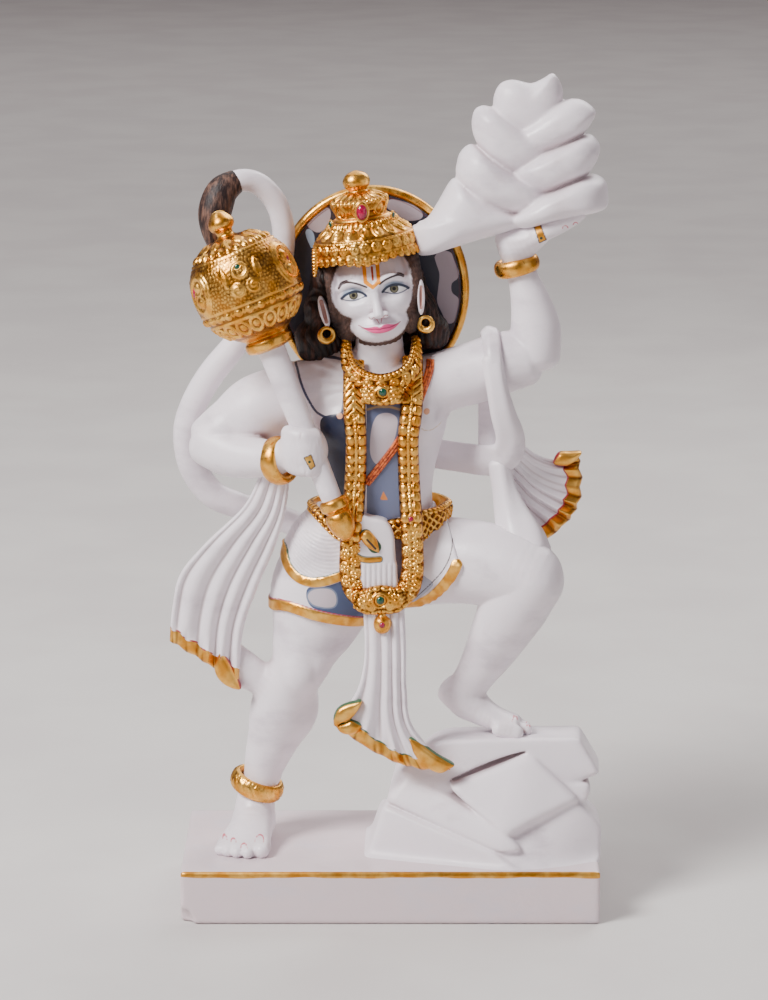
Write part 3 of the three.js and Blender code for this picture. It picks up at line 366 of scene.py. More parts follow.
# Boulders of the mountain: middle x and z, half depth, and the outline's corners
MOUNTAIN = [
    (
        98, 547, 15,
        [
            (73.5, 540), (73.5, 553), (78, 562.5), (87, 565.5), (100, 563), (109, 566.5), (116, 570),
            (122, 561), (122, 550), (113, 532), (97, 526), (83, 531),
        ],
    ),
    (
        119, 533, 21,
        [
            (88, 526), (104, 540), (121, 550), (135, 551.5), (145.5, 544.5), (145, 538), (137, 527),
            (121, 518), (104, 513), (90, 515),
        ],
    ),
    (
        84, 524, 21,
        [
            (58, 533.5), (60, 544), (68, 547), (80, 541), (98, 529), (111, 518), (110, 508), (90, 497),
            (71, 507), (61, 522),
        ],
    ),
    (
        120, 508, 27,
        [
            (86, 500), (104, 513), (124, 522), (141, 527), (149.5, 519), (147.5, 508), (140, 498),
            (122, 489), (106, 484), (90, 488),
        ],
    ),
    (
        76, 495, 27,
        [
            (47, 497), (49, 512), (58, 519.5), (71, 512), (94, 497), (112, 488), (112, 474), (90, 470),
            (66, 476), (54, 486),
        ],
    ),
    (
        120, 480, 33,
        [
            (84, 466), (98, 480), (118, 490), (140, 498), (153, 494.5), (156, 483), (154, 474),
            (139, 469.5), (118, 465), (94, 459.5),
        ],
    ),
    (
        60, 471, 26,
        [
            (15, 459), (26, 466), (34, 478), (42, 492), (47, 495), (56, 490.5), (76, 479), (96, 467),
            (92, 459.5), (64, 451.5), (42, 444.5), (28, 440), (18, 442),
        ],
    ),
]
MOUNTAIN_CREASE = 2

# Blocks of the rock, as corners x, y, z, the crevice over its front block, and its thin foot
ROCK = [
    [
        (24, -22, 80), (36, -30, 86), (54, -33, 88), (104, -31, 87.5), (137, -33, 89), (141, 16, 86),
        (46, 16, 85), (30, 12, 80), (136, 34, 76), (50, 34, 74), (6, -30, 62), (155, -34, 61),
        (157, 26, 54), (4, 30, 46), (134, -33, 53), (14, -33, 52), (36, -37, 46), (60, -34, 46),
    ],
    [
        (60, -34, 56), (146, -34, 54), (148, -30, 44), (147, 26, 50), (141, -36, 36), (138, 28, 24),
        (60, 28, 24), (60, -36, 24),
    ],
    [
        (84, -57, 20), (139, -41, 42), (152, -38, 29), (156, -40, 14), (154, -44, -2), (120, -62, -2),
        (92, -68, -2), (70, -62, 8), (154, 34, -2), (158, 30, 16), (138, 34, 34), (60, 34, 34),
        (60, 34, -2),
    ],
    [
        (40, -43, 54), (103.5, -35, 77.8), (139.4, -43, 44.5), (84.5, -66, 25.5), (52, -8, 58),
        (103, 0, 74), (138, 0, 42), (83, -20, 20), (86, -60, 19), (136, -34, 36),
    ],
    [
        (12.7, -32, 60), (32.8, -40, 50.6), (56.6, -51, 40), (86, -65.5, 24), (98, -66, 12),
        (80, -67, 10), (-4, -35.5, 41), (5, -37, 38), (25, -47, 30.5), (51, -58, 22), (9, 20, 66),
        (60, 30, 50), (60, 0, 4), (0, 20, 20), (2, 24, 46),
    ],
    [
        (-5, -36, 39.5), (5, -38, 36.5), (25, -48.5, 29), (51, -59.5, 20.5), (82, -68.5, 8),
        (92, -70, -2), (-18, -38, -2), (-12, -32, 22), (-8, 26, 24), (-16, 28, -2), (60, 30, 24),
        (60, 30, -2),
    ],
]
ROCK_EDGE = 4
ROCK_CREASE = 2.5
ROCK_CREVICE = [
    (44, -38, 56, 0.8, 8), (58, -37, 61.5, 2, 12), (74, -34, 68, 2.4, 13), (88, -31, 73.5, 1.8, 11),
    (99, -30, 77.5, 0.6, 6),
]
ROCK_FOOT = [
    (-17, -72, -2), (151, -72, -2), (151, 36, -2), (-17, 36, -2), (-17, -72, -0.6), (151, -72, -0.6),
    (151, 36, -0.6), (-17, 36, -0.6),
]

# Plinth: rounding of its edges, middle and half width of its gold line, and lump cut from a corner
PLINTH_EDGE = 2.5
PLINTH_LINE = (-1.9, 2.5)
PLINTH_CHIP = (-152.5, -76, -40, 10, 8, 12)

# Face in its own axes, from the point between the eyes: s to the right, y back, t up
FACE_LUMPS = [
    (((0, 5, 3, 31, 28, 30),), 0), (((0, -5, -6, 27, 26, 27),), 8),
    (((-31, -3, -1, 8, 17, 25), (29.5, -3, 2, 8, 17, 24)), 4),
    (((-24, -6, -24, 8.5, 13, 14), (21.5, -6, -24, 8.5, 13, 14)), 3),
    (((-1, -9, -37, 16, 12, 6.5),), 3),
    (((-14.5, -15, -11, 11, 13, 10), (14.5, -15, -11, 11, 13, 10)), 6),
    (((0.5, -16, -27, 20, 17, 13.5),), 3),
]
FACE_LINES = [
    ([(-24, -19, 3, 2, 2), (-14, -27.5, 8, 3, 3), (-4, -30.5, 5.5, 2.6, 2.6), (0, -30.5, 4, 2.4, 2.4),
      (4, -30.5, 5.5, 2.6, 2.6), (14, -27.5, 8, 3, 3), (24, -19, 3, 2, 2)], 4),
    ([(0.3, -29.5, 3, 2.6, 2.6), (0.6, -32.5, -6, 2.7, 2.7), (0.9, -35.5, -13, 3.4, 3.4),
      (1, -37, -16.5, 3.7, 3.7)], 4),
]
NOSE_WINGS = [(-3.6, -34.6, -16.8, 3, 3.6, 2.5), (5.6, -34.6, -16.8, 3, 3.6, 2.5)]
NOSTRILS = [(-2.4, -38, -19.4, 1, 2.5, 0.8), (4.4, -38, -19.4, 1, 2.5, 0.8)]
SOCKETS = [(-15.3, -30.5, -1.8, 10, 5.5, 5.2), (14.7, -30.5, -1.6, 10, 5.5, 5.2)]
EYEBALLS = [(-15.3, -18.6, -1.9, 9.6, 8.4, 5.6), (14.7, -18.6, -1.7, 9.6, 8.4, 5.6)]
EYES = [
    [(-24, -3.1), (-20.5, -0.3), (-15.8, 1.3), (-11.6, 1.1), (-7.9, -0.7), (-5.9, -2.6), (-10.5, -4.2),
     (-15.6, -4.9), (-20.5, -4.1)],
    [(6.2, -1.6), (9.6, 0.9), (13.9, 2), (18.3, 1.5), (22.1, -0.3), (24.7, -2.7), (19.9, -4.2),
     (14.8, -4.5), (10, -3.2)],
]
LID_CORNERS = 6
IRISES = [(-14.8, -1.1), (14.6, -0.8)]
IRIS_RADIUS = 3.1
PUPIL_RADIUS = 1.3
BROWS = [
    [(-24.7, 4.5), (-22.2, 7.5), (-18.5, 8.9), (-14.4, 8.7), (-9.7, 7), (-4.6, 4.2)],
    [(5.1, 5), (9.5, 7.3), (14.8, 8.6), (19.4, 8.5), (22.4, 6.6)],
]
EYE_SHADOWS = [
    [(-24, -2), (-21.5, 2.6), (-15, 4.6), (-8.7, 3), (-5.8, -2), (-10, -1), (-15, 0), (-20, -1.5)],
    [(5.6, -1.6), (8.4, 3.4), (14.8, 5.2), (21, 3), (24, -1.6), (20, -1), (15, 0), (10, -1)],
]
TILAK_BAR = [(-4.2, 23), (-4.8, 7.8), (-0.2, 3.6), (4.6, 6.8), (5.6, 23)]
TILAK_STROKE = [(1.1, 16.2), (0.8, 12), (0.6, 8.2)]
LIPS = [
    (-14, -23.4), (-10.6, -24.6), (-5.6, -24.4), (-2.5, -24), (0.4, -25.2), (3.4, -23.9), (6.6, -24.1),
    (10.5, -25.2), (14.6, -25.4), (10, -28.6), (4.8, -29.9), (-1.3, -29.9), (-7.1, -27.9),
]
MOUTH_LINE = [
    (-14.6, -23.2), (-8, -25.6), (-2, -26.3), (0, -26.8), (2.4, -26.4), (8, -26.5), (15.4, -24.9),
]
UPPER_LIP = [
    (-12.5, -29, -24.2, 0.8, 0.8), (-7, -32.6, -25, 1.4, 1.4), (-2, -34.6, -25, 1.7, 1.7),
    (0.5, -34.8, -25.6, 1.6, 1.6), (3, -34.6, -25.1, 1.7, 1.7), (8, -32.6, -25.5, 1.4, 1.4),
    (13.3, -29, -25.4, 0.8, 0.8),
]
LOWER_LIP = [
    (-10, -30.4, -26.3, 0.9, 0.9), (-5, -33.4, -27.6, 1.6, 1.6), (0.6, -34.4, -28, 1.9, 1.9),
    (6, -33.4, -27.9, 1.6, 1.6), (11, -30.4, -26.7, 0.9, 0.9),
]
NOSTRIL_LINES = [
    [(-6, -16.9), (-4.7, -18.4), (-2.6, -17.2), (-1.6, -18.8), (0.4, -23)],
    [(7.5, -17.4), (5.7, -16.8), (4.4, -17.8), (2.9, -19.6), (1.8, -22.6)],
]
MASK = [
    (-14.8, 23), (-20.9, 19.8), (-25.3, 14.9), (-28.6, 8.8), (-29.8, 2.4), (-30, -4.3), (-27.3, -11.2),
    (-23.5, -15.2), (-18.9, -17.2), (-18.6, -20.2), (-20.3, -24.1), (-20, -28), (-17, -31.8),
    (-12.2, -34.8), (-4.8, -37), (3.4, -36.8), (10.8, -35.2), (16.4, -31.6), (19.6, -27.6),
    (20.6, -23.8), (19.9, -19.5), (22.6, -15.8), (25.6, -9.5), (27.4, -1.5), (27.6, 6.7), (26.6, 13.4),
    (24, 18.4), (17.9, 21.6), (8, 23),
]
EARS = [(-38, -12, -11.8, 3.5, 6, 11.8, -5.7), (32.4, -16, -11.4, 2.7, 6, 13, 8)]

# Halo: pale panels and streak on its dark paint
HALO_PANELS = [
    [
        (-60.5, 462.3), (-58, 465.7), (-53.1, 469), (-45.7, 470.6), (-43.2, 467.3), (-43.7, 461.5),
        (-46.6, 455.7), (-51.5, 452.1), (-55.6, 453.2), (-59.7, 456.5),
    ],
    [
        (-3, 473.9), (1.2, 476.4), (9.4, 474.7), (17.6, 471.4), (23.3, 466.5), (22.5, 462.3),
        (16, 460.7), (7.7, 461.5), (4.4, 466.5), (-1.3, 469),
    ],
    [
        (32.5, 435), (37.4, 438.6), (44, 437.5), (46.5, 431.6), (49.8, 423.3), (49, 418.3), (44.9, 415),
        (45, 408.3), (49.9, 403.3), (49.1, 394.9), (46.7, 386.5), (41.7, 385.7), (37.6, 393.3),
        (34.2, 401.6), (35, 411.6), (35.8, 421.7), (33.3, 430),
    ],
]
HALO_STREAK = [
    (-61.4, 453.2), (-58.9, 454.9), (-55.6, 451.6), (-54.8, 444.9), (-56.5, 440), (-58.9, 444.1),
    (-60.9, 449.1),
]

# Paint on the body, as lines and outlines in the picture
CHEST_SLATE = [(-17, 340), (9, 340), (9.5, 281), (8.5, 254.5), (-4.5, 250), (-17, 252), (-17, 281)]
CHEST_PANEL = [
    (-10, 328), (-6, 330.5), (0, 330.5), (5, 326.5), (4, 316), (1, 306.5), (-5, 295), (-10, 293),
    (-14, 299.5), (-14.5, 310.5), (-13, 321.5),
]
CHEST_TAN_LINE = [(-16.5, 333), (-10, 335), (0, 335), (7.5, 333)]
LEFT_PANEL = [
    (-67, 366), (-35, 366), (-33, 359), (-34.5, 331.5), (-43, 327), (-50, 328), (-55, 331.5),
    (-62, 344.5), (-66.5, 357.5),
]
# Dark navy paint down the torso's side by the mace, partly painted shade of that side
LEFT_NAVY_SHADE = [
    (-49, 326), (-31, 330.5), (-29, 324.5), (-29, 280.5), (-32, 262), (-36, 262), (-39, 273),
    (-43.5, 288), (-49, 310),
]
THREAD = [(28.9, 365), (28.5, 360), (25, 349.5), (17.5, 331), (6, 310), (-6, 293), (-17, 279)]
NIPPLES = [(-36.2, 328.5), (26, 331)]
BREAST_LINE = [(22, 319.5), (25, 317.6), (30, 317.5), (37, 321)]
NAVEL = [(-5, 273), (-7.5, 266.5), (-1.5, 266.5)]
TOENAILS = [
    (-96, 11, 3.1), (-107.1, 7.6, 2.4), (-115.2, 10.2, 1.9), (-121.7, 10.8, 1.7), (-127, 11.2, 1.3),
]
RAISED_TOENAILS = [(91.6, 97.4, 1.9), (101.5, 92.3, 1.4)]

# Loincloth: gold ribbons and painted patches, as lines and outlines in the picture
LOINCLOTH = [
    (-100, 262), (-60, 262), (-48, 254), (-40, 249), (15, 250), (25, 255), (40, 262), (41.7, 247),
    (44.8, 238), (49, 224.5), (52.5, 220), (49.4, 214.6), (44.2, 206), (38.3, 197.9), (30.5, 190),
    (22.8, 185.8), (14, 184.6), (-11, 185), (-12, 167.5), (-22.6, 170.4), (-38.6, 174.4),
    (-53.2, 177.9), (-69.6, 182.1), (-80, 182.6), (-86, 180.6), (-100, 179.2),
]
THIGH_RIBBON = [
    (-78, 226), (-75.4, 217), (-71.4, 211.4), (-64.6, 207.3), (-55.9, 206), (-46.2, 207.6),
    (-36, 211.4),
]
LEG_BAND = [
    (-100, 183), (-86, 184.5), (-80, 186.4), (-69.6, 186), (-53.2, 181.7), (-38.6, 178.2),
    (-22.6, 174.2), (-10, 171),
]
HIP_RIBBON = [
    (4, 188.6), (15.7, 188.7), (21.6, 189.7), (28.3, 193.2), (35.1, 200.2), (40.9, 208.2),
    (45.2, 215.4), (47.8, 221),
]
HIP_LINE = [(41.7, 247), (44.8, 238), (43.2, 227.1), (37.9, 216.1), (29.3, 205.2), (19, 194)]
HIP_SHADE = [(18, 214), (26, 210), (31, 204), (19, 192), (12, 194)]
FRONT_SHADE = [(1, 240), (9, 238), (9, 206), (1, 206)]
LEG_NAVY = [
    (-58.8, 202.2), (-48.1, 203.2), (-36, 208.6), (-20, 213), (-16, 178), (-22.6, 178.6),
    (-40.5, 182.8), (-55.9, 187.2), (-60.7, 195.2),
]
LEG_PANEL = [
    (-60.2, 195), (-58.4, 199.4), (-53, 202), (-44.3, 202.2), (-39.5, 198.5), (-38.5, 192),
    (-41, 187.8), (-48.2, 187.4), (-56.4, 189.6),
]

# Hair behind and beside the head: x, y, z of the middle, half sizes and lean
HAIR = [
    (-49, 8, 378, 20, 17, 16, 0), (-50, 8, 368, 16.5, 15, 9, 0), (-52, 9, 397, 10, 16, 16, -6),
    (-47, 9, 412, 11, 17, 22, -6), (28, 8, 384, 14.5, 17, 12, 0), (29, 8, 377, 12.5, 15, 6.5, 0),
    (23, 9, 398, 11, 16, 16, -10), (15, 9, 415, 11, 17, 22, -8.5), (-12, 18, 386, 44, 14, 22, 0),
]

Shape = namedtuple("Shape", "low high distance")


def at_rows(rows, along):
    """Values of rows of numbers at places from 0 to 1 along them, smoothly from row to row."""
    rows = np.array(rows, float)
    last = len(rows) - 1
    place = np.asarray(along, float) * last
    step = np.clip(place.astype(int), 0, last - 1)
    t = (place - step)[..., None]
    before, start, end, after = (rows[np.clip(step + shift, 0, last)] for shift in (-1, 0, 1, 2))
    slope_in, slope_out = (end - before) / 2, (after - start) / 2
    rise = end - start
    bend = 3 * rise - 2 * slope_in - slope_out
    return start + t * (slope_in + t * (bend + t * (slope_in + slope_out - 2 * rise)))


def curve(rows, steps):
    """Rows of numbers filled in smoothly to steps + 1 rows."""
    return at_rows(rows, np.linspace(0, 1, steps + 1))


def unit(vectors):
    """Vectors brought to a length of one."""
    vectors = np.asarray(vectors, float)
    return vectors / np.maximum(np.linalg.norm(vectors, axis=-1, keepdims=True), 1e-9)


def smooth_min(a, b, blend):
    """Lesser of two distances, rounded where they cross."""
    if blend == 0:
        return np.minimum(a, b)
    near = np.maximum(blend - np.abs(a - b), 0) / blend
    return np.minimum(a, b) - near * near * blend / 4


def lump(x, y, z, wide, deep, high, lean=0, nod=0):
    """Ellipsoid that leans in the picture and nods towards the viewer, in degrees."""
    lean, nod = math.radians(lean), math.radians(nod)
    across = np.array([math.cos(lean), 0, -math.sin(lean)])
    up = np.array([math.sin(lean) * math.cos(nod), -math.sin(nod), math.cos(lean) * math.cos(nod)])
    back = np.cross(up, across)
    ways = ((across, wide), (back, deep), (up, high))
    reach = np.sqrt(sum((way * size) ** 2 for way, size in ways))
    middle = np.array([x, y, z], float)

    def distance(px, py, pz):
        place = (px - x, py - y, pz - z)
        along = [sum(p * w for p, w in zip(place, way)) for way, _ in ways]
        inside = np.sqrt(sum((a / size) ** 2 for a, (_, size) in zip(along, ways)))
        slope = np.sqrt(sum((a / size ** 2) ** 2 for a, (_, size) in zip(along, ways)))
        return inside * (inside - 1) / np.maximum(slope, 1e-6)

    return Shape(middle - reach, middle + reach, distance)


def lumps(rows):
    """One lump for each row."""
    return [lump(*row) for row in rows]


def segment(start, end, deep_way, caps):
    """Piece of a limb between two rings of x, y, z, half width, half depth, with rounded ends."""
    run = end[:3] - start[:3]
    length = np.linalg.norm(run)
    along = run / length
    deep = unit(deep_way - along * np.dot(along, deep_way))
    wide = np.cross(along, deep)

    def distance(px, py, pz):
        place = (px - start[0], py - start[1], pz - start[2])
        h, w, d = (sum(p * v for p, v in zip(place, way)) for way in (along, wide, deep))
        t = np.clip(h / length, 0, 1)
        half_wide = start[3] + (end[3] - start[3]) * t
        half_deep = start[4] + (end[4] - start[4]) * t
        over = h - t * length
        cap = np.minimum(half_wide, half_deep) * np.where(over < 0, caps[0], caps[1])
        ways = ((w, half_wide), (d, half_deep), (over, cap))
        inside = np.sqrt(sum((a / size) ** 2 for a, size in ways))
        slope = np.sqrt(sum((a / size ** 2) ** 2 for a, size in ways))
        return inside * (inside - 1) / np.maximum(slope, 1e-6)

    reach = max(start[3], start[4], end[3], end[4])
    ends = np.array([start[:3], end[:3]])
    return Shape(ends.min(axis=0) - reach, ends.max(axis=0) + reach, distance)


def limb(rows, deep_way=(0, 1, 0), dome=0.6, steps=4):
    """Shapes of a limb that passes smoothly through its rows."""
    rings = curve(rows, steps * (len(rows) - 1))
    inner_cap = 0.25
    last = len(rings) - 2
    return [
        segment(rings[i], rings[i + 1], np.array(deep_way, float),
                (dome if i == 0 else inner_cap, dome if i == last else inner_cap))
        for i in range(last + 1)
    ]


class Field:
    """Distances to a carved surface on a grid of cells, joined up shape by shape."""

    def __init__(self, low, high, cell):
        self.low = np.array(low, float)
        self.cell = cell
        size = np.ceil((np.array(high) - self.low) / cell).astype(int) + 1
        self.values = np.full(size, FAR, np.float32)

    def window(self, low, high):
        size = np.array(self.values.shape)
        start = np.clip(np.floor((low - self.low) / self.cell).astype(int), 0, size - 1)
        stop = np.clip(np.ceil((high - self.low) / self.cell).astype(int) + 1, 1, size)
        cut = tuple(slice(a, b) for a, b in zip(start, stop))
        axes = [self.low[i] + self.cell * np.arange(start[i], stop[i]) for i in range(3)]
        return cut, np.meshgrid(*[axis.astype(np.float32) for axis in axes], indexing="ij", sparse=True)

    def nearest(self, shapes, blend):
        """Window round some shapes, and the distance to the nearest of them in it."""
        reach = 1.3 * blend + 4 * self.cell
        low = np.min([shape.low for shape in shapes], axis=0) - reach
        high = np.max([shape.high for shape in shapes], axis=0) + reach
        whole, _ = self.window(low, high)
        part = np.full(self.values[whole].shape, FAR, np.float32)
        for shape in shapes:
            place, points = self.window(shape.low - reach, shape.high + reach)
            inner = tuple(slice(a.start - w.start, a.stop - w.start) for a, w in zip(place, whole))
            part[inner] = np.minimum(part[inner], shape.distance(*points))
        return whole, part

    def join(self, shapes, blend=0.0):
        whole, part = self.nearest(shapes, blend)
        self.values[whole] = smooth_min(self.values[whole], part, blend)
        return self

    def carve(self, shapes, blend=0.0):
        whole, part = self.nearest(shapes, blend)
        self.values[whole] = -smooth_min(-self.values[whole], part, blend)
        return self

    def surface(self, rounds=2):
        """Points and four-sided faces where the distance is zero, a little smoothed."""
        grid = openvdb.FloatGrid(FAR)
        grid.copyFromArray(self.values)
        points, _, quads = grid.convertToPolygons(0.0, 0.0)
        quads = quads.astype(int)
        return relax(points * self.cell + self.low, quads, rounds), quads

    def at(self, points):
        """Distance at some points."""
        size = np.array(self.values.shape)
        place = np.clip((points - self.low) / self.cell, 0, size - 1.001)
        base = place.astype(int)
        share = place - base
        total = np.zeros(len(points))
        for corner in np.ndindex(2, 2, 2):
            index = tuple((base + corner).T)
            weight = np.prod(np.where(corner, share, 1 - share), axis=1)
            total += weight * np.clip(self.values[index], -FAR, 50)
        return total

    def front(self, x, z):
        """Depth of the first surface met from the viewer's side at a place in the picture."""
        column = int(round((x - self.low[0]) / self.cell))
        level = int(round((z - self.low[2]) / self.cell))
        row = self.values[column, :, level]
        step = int(np.argmax(row < 0))
        share = row[step - 1] / (row[step - 1] - row[step])
        return self.low[1] + self.cell * (step - 1 + float(share))

    def hollowness(self, points, quads, reach=5):
        """How closed in each point is, from 0 in the open to 1 in a deep hollow; the materials paint shade
        by it.
        """
        ahead = points + reach * normals_of(points, quads)
        return np.clip(1 - self.at(ahead) / reach, 0, 1)


def relax(points, quads, rounds, share=0.5):
    """Points drawn towards the middle of their neighbours."""
    starts = quads.ravel()
    ends = np.roll(quads, -1, axis=1).ravel()
    count = np.bincount(starts, minlength=len(points))[:, None]
    for _ in range(rounds):
        sums = [np.bincount(starts, points[ends, axis], len(points)) for axis in range(3)]
        points = points + share * (np.stack(sums, axis=1) / count - points)
    return points


def normals_of(points, quads):
    a, b, c, d = (points[quads[:, i]] for i in range(4))
    face = np.cross(c - a, d - b)
    total = [np.bincount(quads.ravel(), np.repeat(face[:, axis], 4), len(points)) for axis in range(3)]
    return unit(np.stack(total, axis=1))


def to_metres(points):
    return np.asarray(points, float) * SCALE + (0, 0, PLINTH_TOP)


def add_piece(name, points, faces, material, marks=None):
    """Mesh piece that stands for the solid, with a value on each point for each mark."""
    mesh = bpy.data.meshes.new(name)
    mesh.from_pydata(to_metres(points).tolist(), [], [list(map(int, face)) for face in faces])
    recalculated(mesh)
    mesh.shade_smooth()
    for mark, values in (marks or {}).items():
        attribute = mesh.attributes.new(mark, "FLOAT", "POINT")
        attribute.data.foreach_set("value", np.asarray(values, np.float32))
    mesh.materials.append(material)
    piece = bpy.data.objects.new(name, mesh)
    bpy.context.scene.collection.objects.link(piece)
    if len(points) > THIN_ABOVE:
        thin_out(piece, points, faces, marks or {})
    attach(piece, BODY)
    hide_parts(NODE)


def thin_out(piece, points, faces, marks):
    """Fewer faces where a surface is even, and as many as before along its painted edges."""
    ends = np.array([face[:2] for face in faces])
    reach = THIN_REACH * np.median(np.linalg.norm(points[ends[:, 0]] - points[ends[:, 1]], axis=1))
    even = np.ones(len(points), bool)
    for mark, values in marks.items():
        if mark != "hollow":
            even &= np.abs(values) > reach
    piece.vertex_groups.new(name="even").add(np.flatnonzero(even).tolist(), 1.0, "REPLACE")
    thinning = piece.modifiers.new("thinning", "DECIMATE")
    thinning.ratio = THIN_SHARE
    thinning.vertex_group = "even"
    mesh = bpy.data.meshes.new_from_object(piece.evaluated_get(bpy.context.evaluated_depsgraph_get()))
    piece.modifiers.clear()
    piece.vertex_groups.clear()
    dense, piece.data = piece.data, mesh
    bpy.data.meshes.remove(dense)
    mesh.name = piece.name


def colour(red, green, blue):
    """Linear colour from the usual 0 to 255 values."""
    return (*(((value / 255 + 0.055) / 1.055) ** 2.4 for value in (red, green, blue)), 1)


MARBLE = colour(236, 228, 234)
MARBLE_VEIN = colour(212, 202, 210)
# Plinth's marble: partly its own duller mauve tone, partly painted shade
PLINTH_TONE_AND_SHADE = colour(218, 202, 206)
# Painted shade that the marble takes where it is closed in
MARBLE_PAINTED_SHADE = colour(160, 132, 132)
GOLD = colour(216, 146, 48)
GOLD_PALE = colour(248, 196, 100)
# Painted shade of gold leaf between its raised motifs
GOLD_PAINTED_SHADE = colour(112, 62, 22)
SLATE = colour(96, 104, 132)
NAVY = colour(38, 44, 66)
PANEL = colour(190, 178, 186)
FUR_DARK = colour(34, 22, 22)
HAIR_BLACK = colour(16, 10, 10)
NAIL_PINK = colour(206, 100, 116)
LINE_GREEN = colour(52, 92, 58)
LINE_RED = colour(160, 44, 50)
FLOOR_GREY = colour(202, 198, 196)
FLOOR_PALE = colour(208, 205, 202)
PAINT_EDGE = 0.25

# Paint over the marble by mark and colour, each layer over the one before it
# On the skin, the navy layer is partly painted shade down the torso's side.
SKIN_PAINT = (
    ("slate", SLATE), ("panel", PANEL), ("tan", colour(176, 150, 118)),
    ("left_edge", colour(70, 74, 98)), ("navy", NAVY), ("nipple", colour(224, 164, 128)),
    ("breast", colour(212, 190, 168)), ("navel", colour(196, 120, 60)), ("toenail", NAIL_PINK),
)
HAND_PAINT = (("edge", colour(54, 36, 22)), ("stone", colour(20, 60, 40)), ("nail", NAIL_PINK))
FACE_PAINT = (
    ("eye", colour(232, 230, 232)), ("iris", colour(104, 100, 78)), ("iris_edge", colour(48, 46, 42)),
    ("pupil", colour(16, 15, 18)), ("lash", colour(86, 92, 112)), ("lid", colour(40, 50, 70)),
    ("brow", colour(58, 46, 48)),
    ("tilak", colour(238, 148, 26)), ("tilak_stroke", colour(170, 62, 26)),
    ("lips", colour(224, 78, 136)), ("mouth", colour(146, 30, 66)), ("nostril", colour(168, 72, 84)),
)
HALO_PAINT = (
    ("navy", colour(36, 38, 54)), ("panel", colour(166, 154, 162)), ("streak", colour(150, 172, 200)),
    ("red", colour(92, 26, 34)),
)
KNOT_PAINT = (("line_edge", colour(48, 84, 52)), ("bud_edge", colour(48, 84, 52)))
LOINCLOTH_PAINT = (
    ("navy", colour(66, 78, 112)), ("panel", PANEL), ("panel_edge", colour(112, 124, 148)),
    ("hip_shade", colour(168, 172, 190)), ("hip_line", colour(74, 62, 62)),
    ("front_shade", colour(120, 118, 140)), ("green_line", colour(60, 96, 60)),
    ("red_line", colour(168, 50, 56)),
)


class Shading:
    """Material whose nodes are added one by one; place is the drawn position in millimetres."""

    def __init__(self, name):
        self.material = bpy.data.materials.new(name)
        self.material.use_nodes = True
        self.tree = self.material.node_tree
        self.shader = self.tree.nodes["Principled BSDF"]
        self.place = self.node("ShaderNodeTexCoord").outputs["Object"]

    def node(self, kind, settings=None, **inputs):
        node = self.tree.nodes.new(kind)
        for key, value in (settings or {}).items():
            setattr(node, key, value)
        for key, value in inputs.items():
            self.set(node.inputs[key.replace("_", " ")], value)
        return node

    def set(self, socket, value):
        if isinstance(value, bpy.types.NodeSocket):
            self.tree.links.new(value, socket)
        else:
            socket.default_value = value

    def finish(self, **inputs):
        for key, value in inputs.items():
            self.set(self.shader.inputs[key.replace("_", " ")], value)
        return self.material

    def mix(self, factor, first, second):
        node = self.node("ShaderNodeMix", {"data_type": "RGBA"})
        for index, value in ((0, factor), (6, first), (7, second)):
            self.set(node.inputs[index], value)
        return node.outputs[2]

    def ramp(self, value, start, end, bottom=0.0, top=1.0):
        inputs = {"From Min": start, "From Max": end, "To Min": bottom, "To Max": top, "Value": value}
        node = self.node("ShaderNodeMapRange", {"interpolation_type": "SMOOTHSTEP"}, **inputs)
        return node.outputs["Result"]

    def noise(self, size, detail=3.0, roughness=0.5, stretch=(1, 1, 1)):
        """Soft noise with spots of a size in millimetres."""
        place = self.node("ShaderNodeMapping", Vector=self.place, Scale=stretch).outputs[0]
        inputs = {"Scale": 1000 / size, "Detail": detail, "Roughness": roughness}
        return self.node("ShaderNodeTexNoise", Vector=place, **inputs).outputs[0]

    def mark(self, name):
        return self.node("ShaderNodeAttribute", {"attribute_name": name}).outputs["Fac"]

    def bump(self, height, depth, normal=None):
        """Normal bent by a height of 0 to 1 that stands depth millimetres."""
        inputs = {"Height": height, "Distance": depth / 1000}
        if normal:
            inputs["Normal"] = normal
        return self.node("ShaderNodeBump", **inputs).outputs[0]

    def painted(self, base, layers):
        """Base colour under layers of paint, each inside its mark's zero line."""
        for mark, paint in layers:
            base = self.mix(self.ramp(self.mark(mark), PAINT_EDGE, -PAINT_EDGE), base, paint)
        return base

    def painted_away(self, share, layers):
        """Share of bare gold left under layers of paint."""
        for mark, _ in layers:
            keep = self.node("ShaderNodeMath", {"operation": "MULTIPLY"})
            self.set(keep.inputs[0], share)
            self.set(keep.inputs[1], self.ramp(self.mark(mark), -PAINT_EDGE, PAINT_EDGE))
            share = keep.outputs[0]
        return share


def leaf_colour(s):
    """Colour of gold leaf, unevenly toned, with painted shade turning it brown where it lies deep between
    motifs.
    """
    base = s.mix(s.ramp(s.noise(9, 3), 0.3, 0.75), GOLD, GOLD_PALE)
    return s.mix(s.ramp(s.mark("hollow"), 0.3, 1.0), base, GOLD_PAINTED_SHADE)


